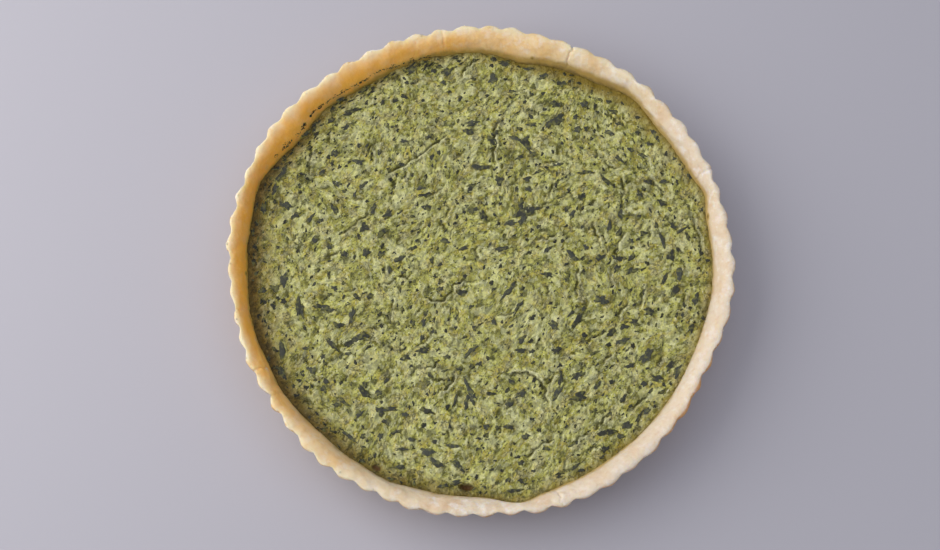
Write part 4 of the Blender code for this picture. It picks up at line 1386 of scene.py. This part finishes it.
# The largest lumps in it: degrees, mm long
TIDE_LUMPS = ((138.0, 2.6), (137.0, 1.8), (122.5, 2.2), (110.0, 1.6), (128.0, 1.5), (146.0, 1.6))
bits = [(degrees, size, 0.9 * size, 0.0) for degrees, size in TIDE_LUMPS]
for _ in range(TIDE_BITS):
    degrees = chance.uniform(*TIDE_LINE)
    thick = 0.48 + 1.3 * noise.noise(Vector((degrees * 0.45, 8.0, 0.0)))
    if chance.random() > thick:
        continue
    length = 0.4 + (1.0 + 2.5 * thick) * chance.random() ** 2.0
    width = chance.uniform(0.2, 0.4 + 0.6 * thick)
    bits.append((degrees, length, width, chance.gauss(0.0, 0.2 + 0.5 * thick)))
for degrees, length, width, off in bits:
    turn = math.radians(degrees)
    outwards = Vector((math.cos(turn), math.sin(turn), 0.0))
    sunk = TIDE_HEIGHT + TIDE_WANDER * noise.noise(Vector((degrees * 0.12, 3.0, 0.0)))
    sunk *= 1.0 - 0.70 * smooth(120.0, 104.0, degrees)
    rise = float(filling_line(np.array([turn]))[1][0]) + sunk + off * MM
    found_wall, spot, facing, _ = case.ray_cast(Vector((0.0, 0.0, rise)), outwards)
    if not found_wall:
        continue
    sideways = Vector((0.0, 0.0, 1.0)).cross(facing).normalized()
    upwards = facing.cross(sideways)
    corners = scrap_outline(chance, length * MM, width * MM, chance.gauss(0.0, 0.35), TIDE_SIDES)

    def spot_at(across, up, rise, spot=spot, facing=facing, sideways=sideways, upwards=upwards):
        return spot + sideways * across + upwards * up + facing * (TIDE_LIFT + rise * 0.5)

    add_scrap(made_scraps, corners, spot_at, 0.15)
points, faces, tones, covers = made_scraps
scraps_mesh = bpy.data.meshes.new("spinach_scraps")
scraps_mesh.from_pydata(points, [], faces)
scraps = bpy.data.objects.new("spinach_scraps", scraps_mesh)
bpy.context.collection.objects.link(scraps)
paint(scraps, "tone", tones)
paint(scraps, "cover", covers)
paint(scraps, "streaks", [drawn_out(point[0], point[1]) for point in points])
scraps_mesh.shade_smooth()

# Cooked spinach leaf: thin and wet, so it is slate green, with a low sheen and a faint net of veins.
leaf, tree, blade = new_material("cooked_spinach_leaf")
VEIN = 1.1 * MM
FILM = 2.0 * MM
found = custard_patterns(tree)
film = pattern(tree, found["where"], FILM, 4.0)
veins = add_node(
    tree,
    "ShaderNodeTexVoronoi",
    {"Vector": found["where"], "Scale": 1.0 / VEIN},
    feature="DISTANCE_TO_EDGE",
).outputs["Distance"]
colour = mixed(tree, painted(tree, "tone"), "#201F13", "#42443A")
colour = tinted(tree, colour, film, 0.48, 0.64, 0.70, "#74733C")
colour = tinted(tree, colour, veins, 0.06, 0.0, 0.30, "#50564A")
# Where the paste laps over a scrap, most of all at its edge, the scrap shows the paste's own colour
lapped = joined(tree, "ADD", painted(tree, "cover"), joined(tree, "MULTIPLY", found["veil"], 1.0))
lapped = joined(tree, "ADD", lapped, joined(tree, "MULTIPLY", found["grain"], 0.7))
bare = spread_out(tree, lapped, 0.92, 1.46)
colour = mixed(tree, bare, custard_colour(tree, found), colour)
tree.links.new(colour, blade.inputs["Base Color"])
blade.inputs["Roughness"].default_value = 0.48
blade.inputs["Specular IOR Level"].default_value = 0.30
blade_bump = relief_of(tree, ((film, 0.45), (found["veil"], 0.55), (found["grain"], 0.25)))
tree.links.new(blade_bump, blade.inputs["Normal"])
scraps.data.materials.append(leaf)
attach(scraps, "root")

# The surface under the quiche, a plain pale floor, is not part of it
bpy.ops.object.select_all(action="DESELECT")
bpy.ops.mesh.primitive_plane_add(size=6.0)
floor = bpy.context.object
floor.name = "floor"
plain, _, plain_surface = new_material("pale_plain_floor")
plain_surface.inputs["Base Color"].default_value = linear("#B4B1B8")
plain_surface.inputs["Roughness"].default_value = 0.9
floor.data.materials.append(plain)

# The camera looks down, tipped a little towards the near side, as in the photograph
LENS = 50.0
SENSOR = 36.0
PHOTO_WIDTH, PHOTO_HEIGHT = 940, 550
PIXEL = 0.4649 * MM  # on the rim
TILT = math.radians(13.9)
RIM_CENTRE_PX = (479.9, 259.1)
distance = PIXEL * PHOTO_WIDTH * LENS / SENSOR
target = Vector(
    (
        (PHOTO_WIDTH / 2.0 - RIM_CENTRE_PX[0]) * PIXEL,
        (RIM_CENTRE_PX[1] - PHOTO_HEIGHT / 2.0) * PIXEL / math.cos(TILT),
        HEIGHT,
    )
)
lens = bpy.data.cameras.new("camera")
lens.lens = LENS
lens.sensor_width = SENSOR
lens.clip_start = 0.01
camera = bpy.data.objects.new("camera", lens)
bpy.context.collection.objects.link(camera)
backwards = Vector((0.0, -math.sin(TILT), math.cos(TILT)))
camera.location = target + backwards * distance
camera.rotation_euler = backwards.to_track_quat("Z", "Y").to_euler()
bpy.context.scene.camera = camera

# Soft daylight from the left, a little from the top of the picture, and a pale room round it


def add_light(name, towards, lamp_distance, size, power, colour):
    """A soft square lamp that faces the quiche from a direction."""
    lamp = bpy.data.lights.new(name, "AREA")
    lamp.size = size
    lamp.energy = power
    lamp.color = linear(colour)[:3]
    made_lamp = bpy.data.objects.new(name, lamp)
    bpy.context.collection.objects.link(made_lamp)
    direction = Vector(towards).normalized()
    made_lamp.location = direction * lamp_distance
    made_lamp.rotation_euler = direction.to_track_quat("Z", "Y").to_euler()


add_light("window", (-0.92, 0.20, 0.70), 0.95, 1.1, 9.5, "#FFFDFA")
add_light("ceiling", (0.15, 0.10, 1.0), 1.6, 1.6, 6.9, "#F2F4FF")
world = bpy.data.worlds.new("room")
world.use_nodes = True
room = world.node_tree.nodes["Background"]
room.inputs["Color"].default_value = linear("#DDE2EC")
room.inputs["Strength"].default_value = 0.46
bpy.context.scene.world = world
bpy.context.scene.view_settings.view_transform = "Standard"
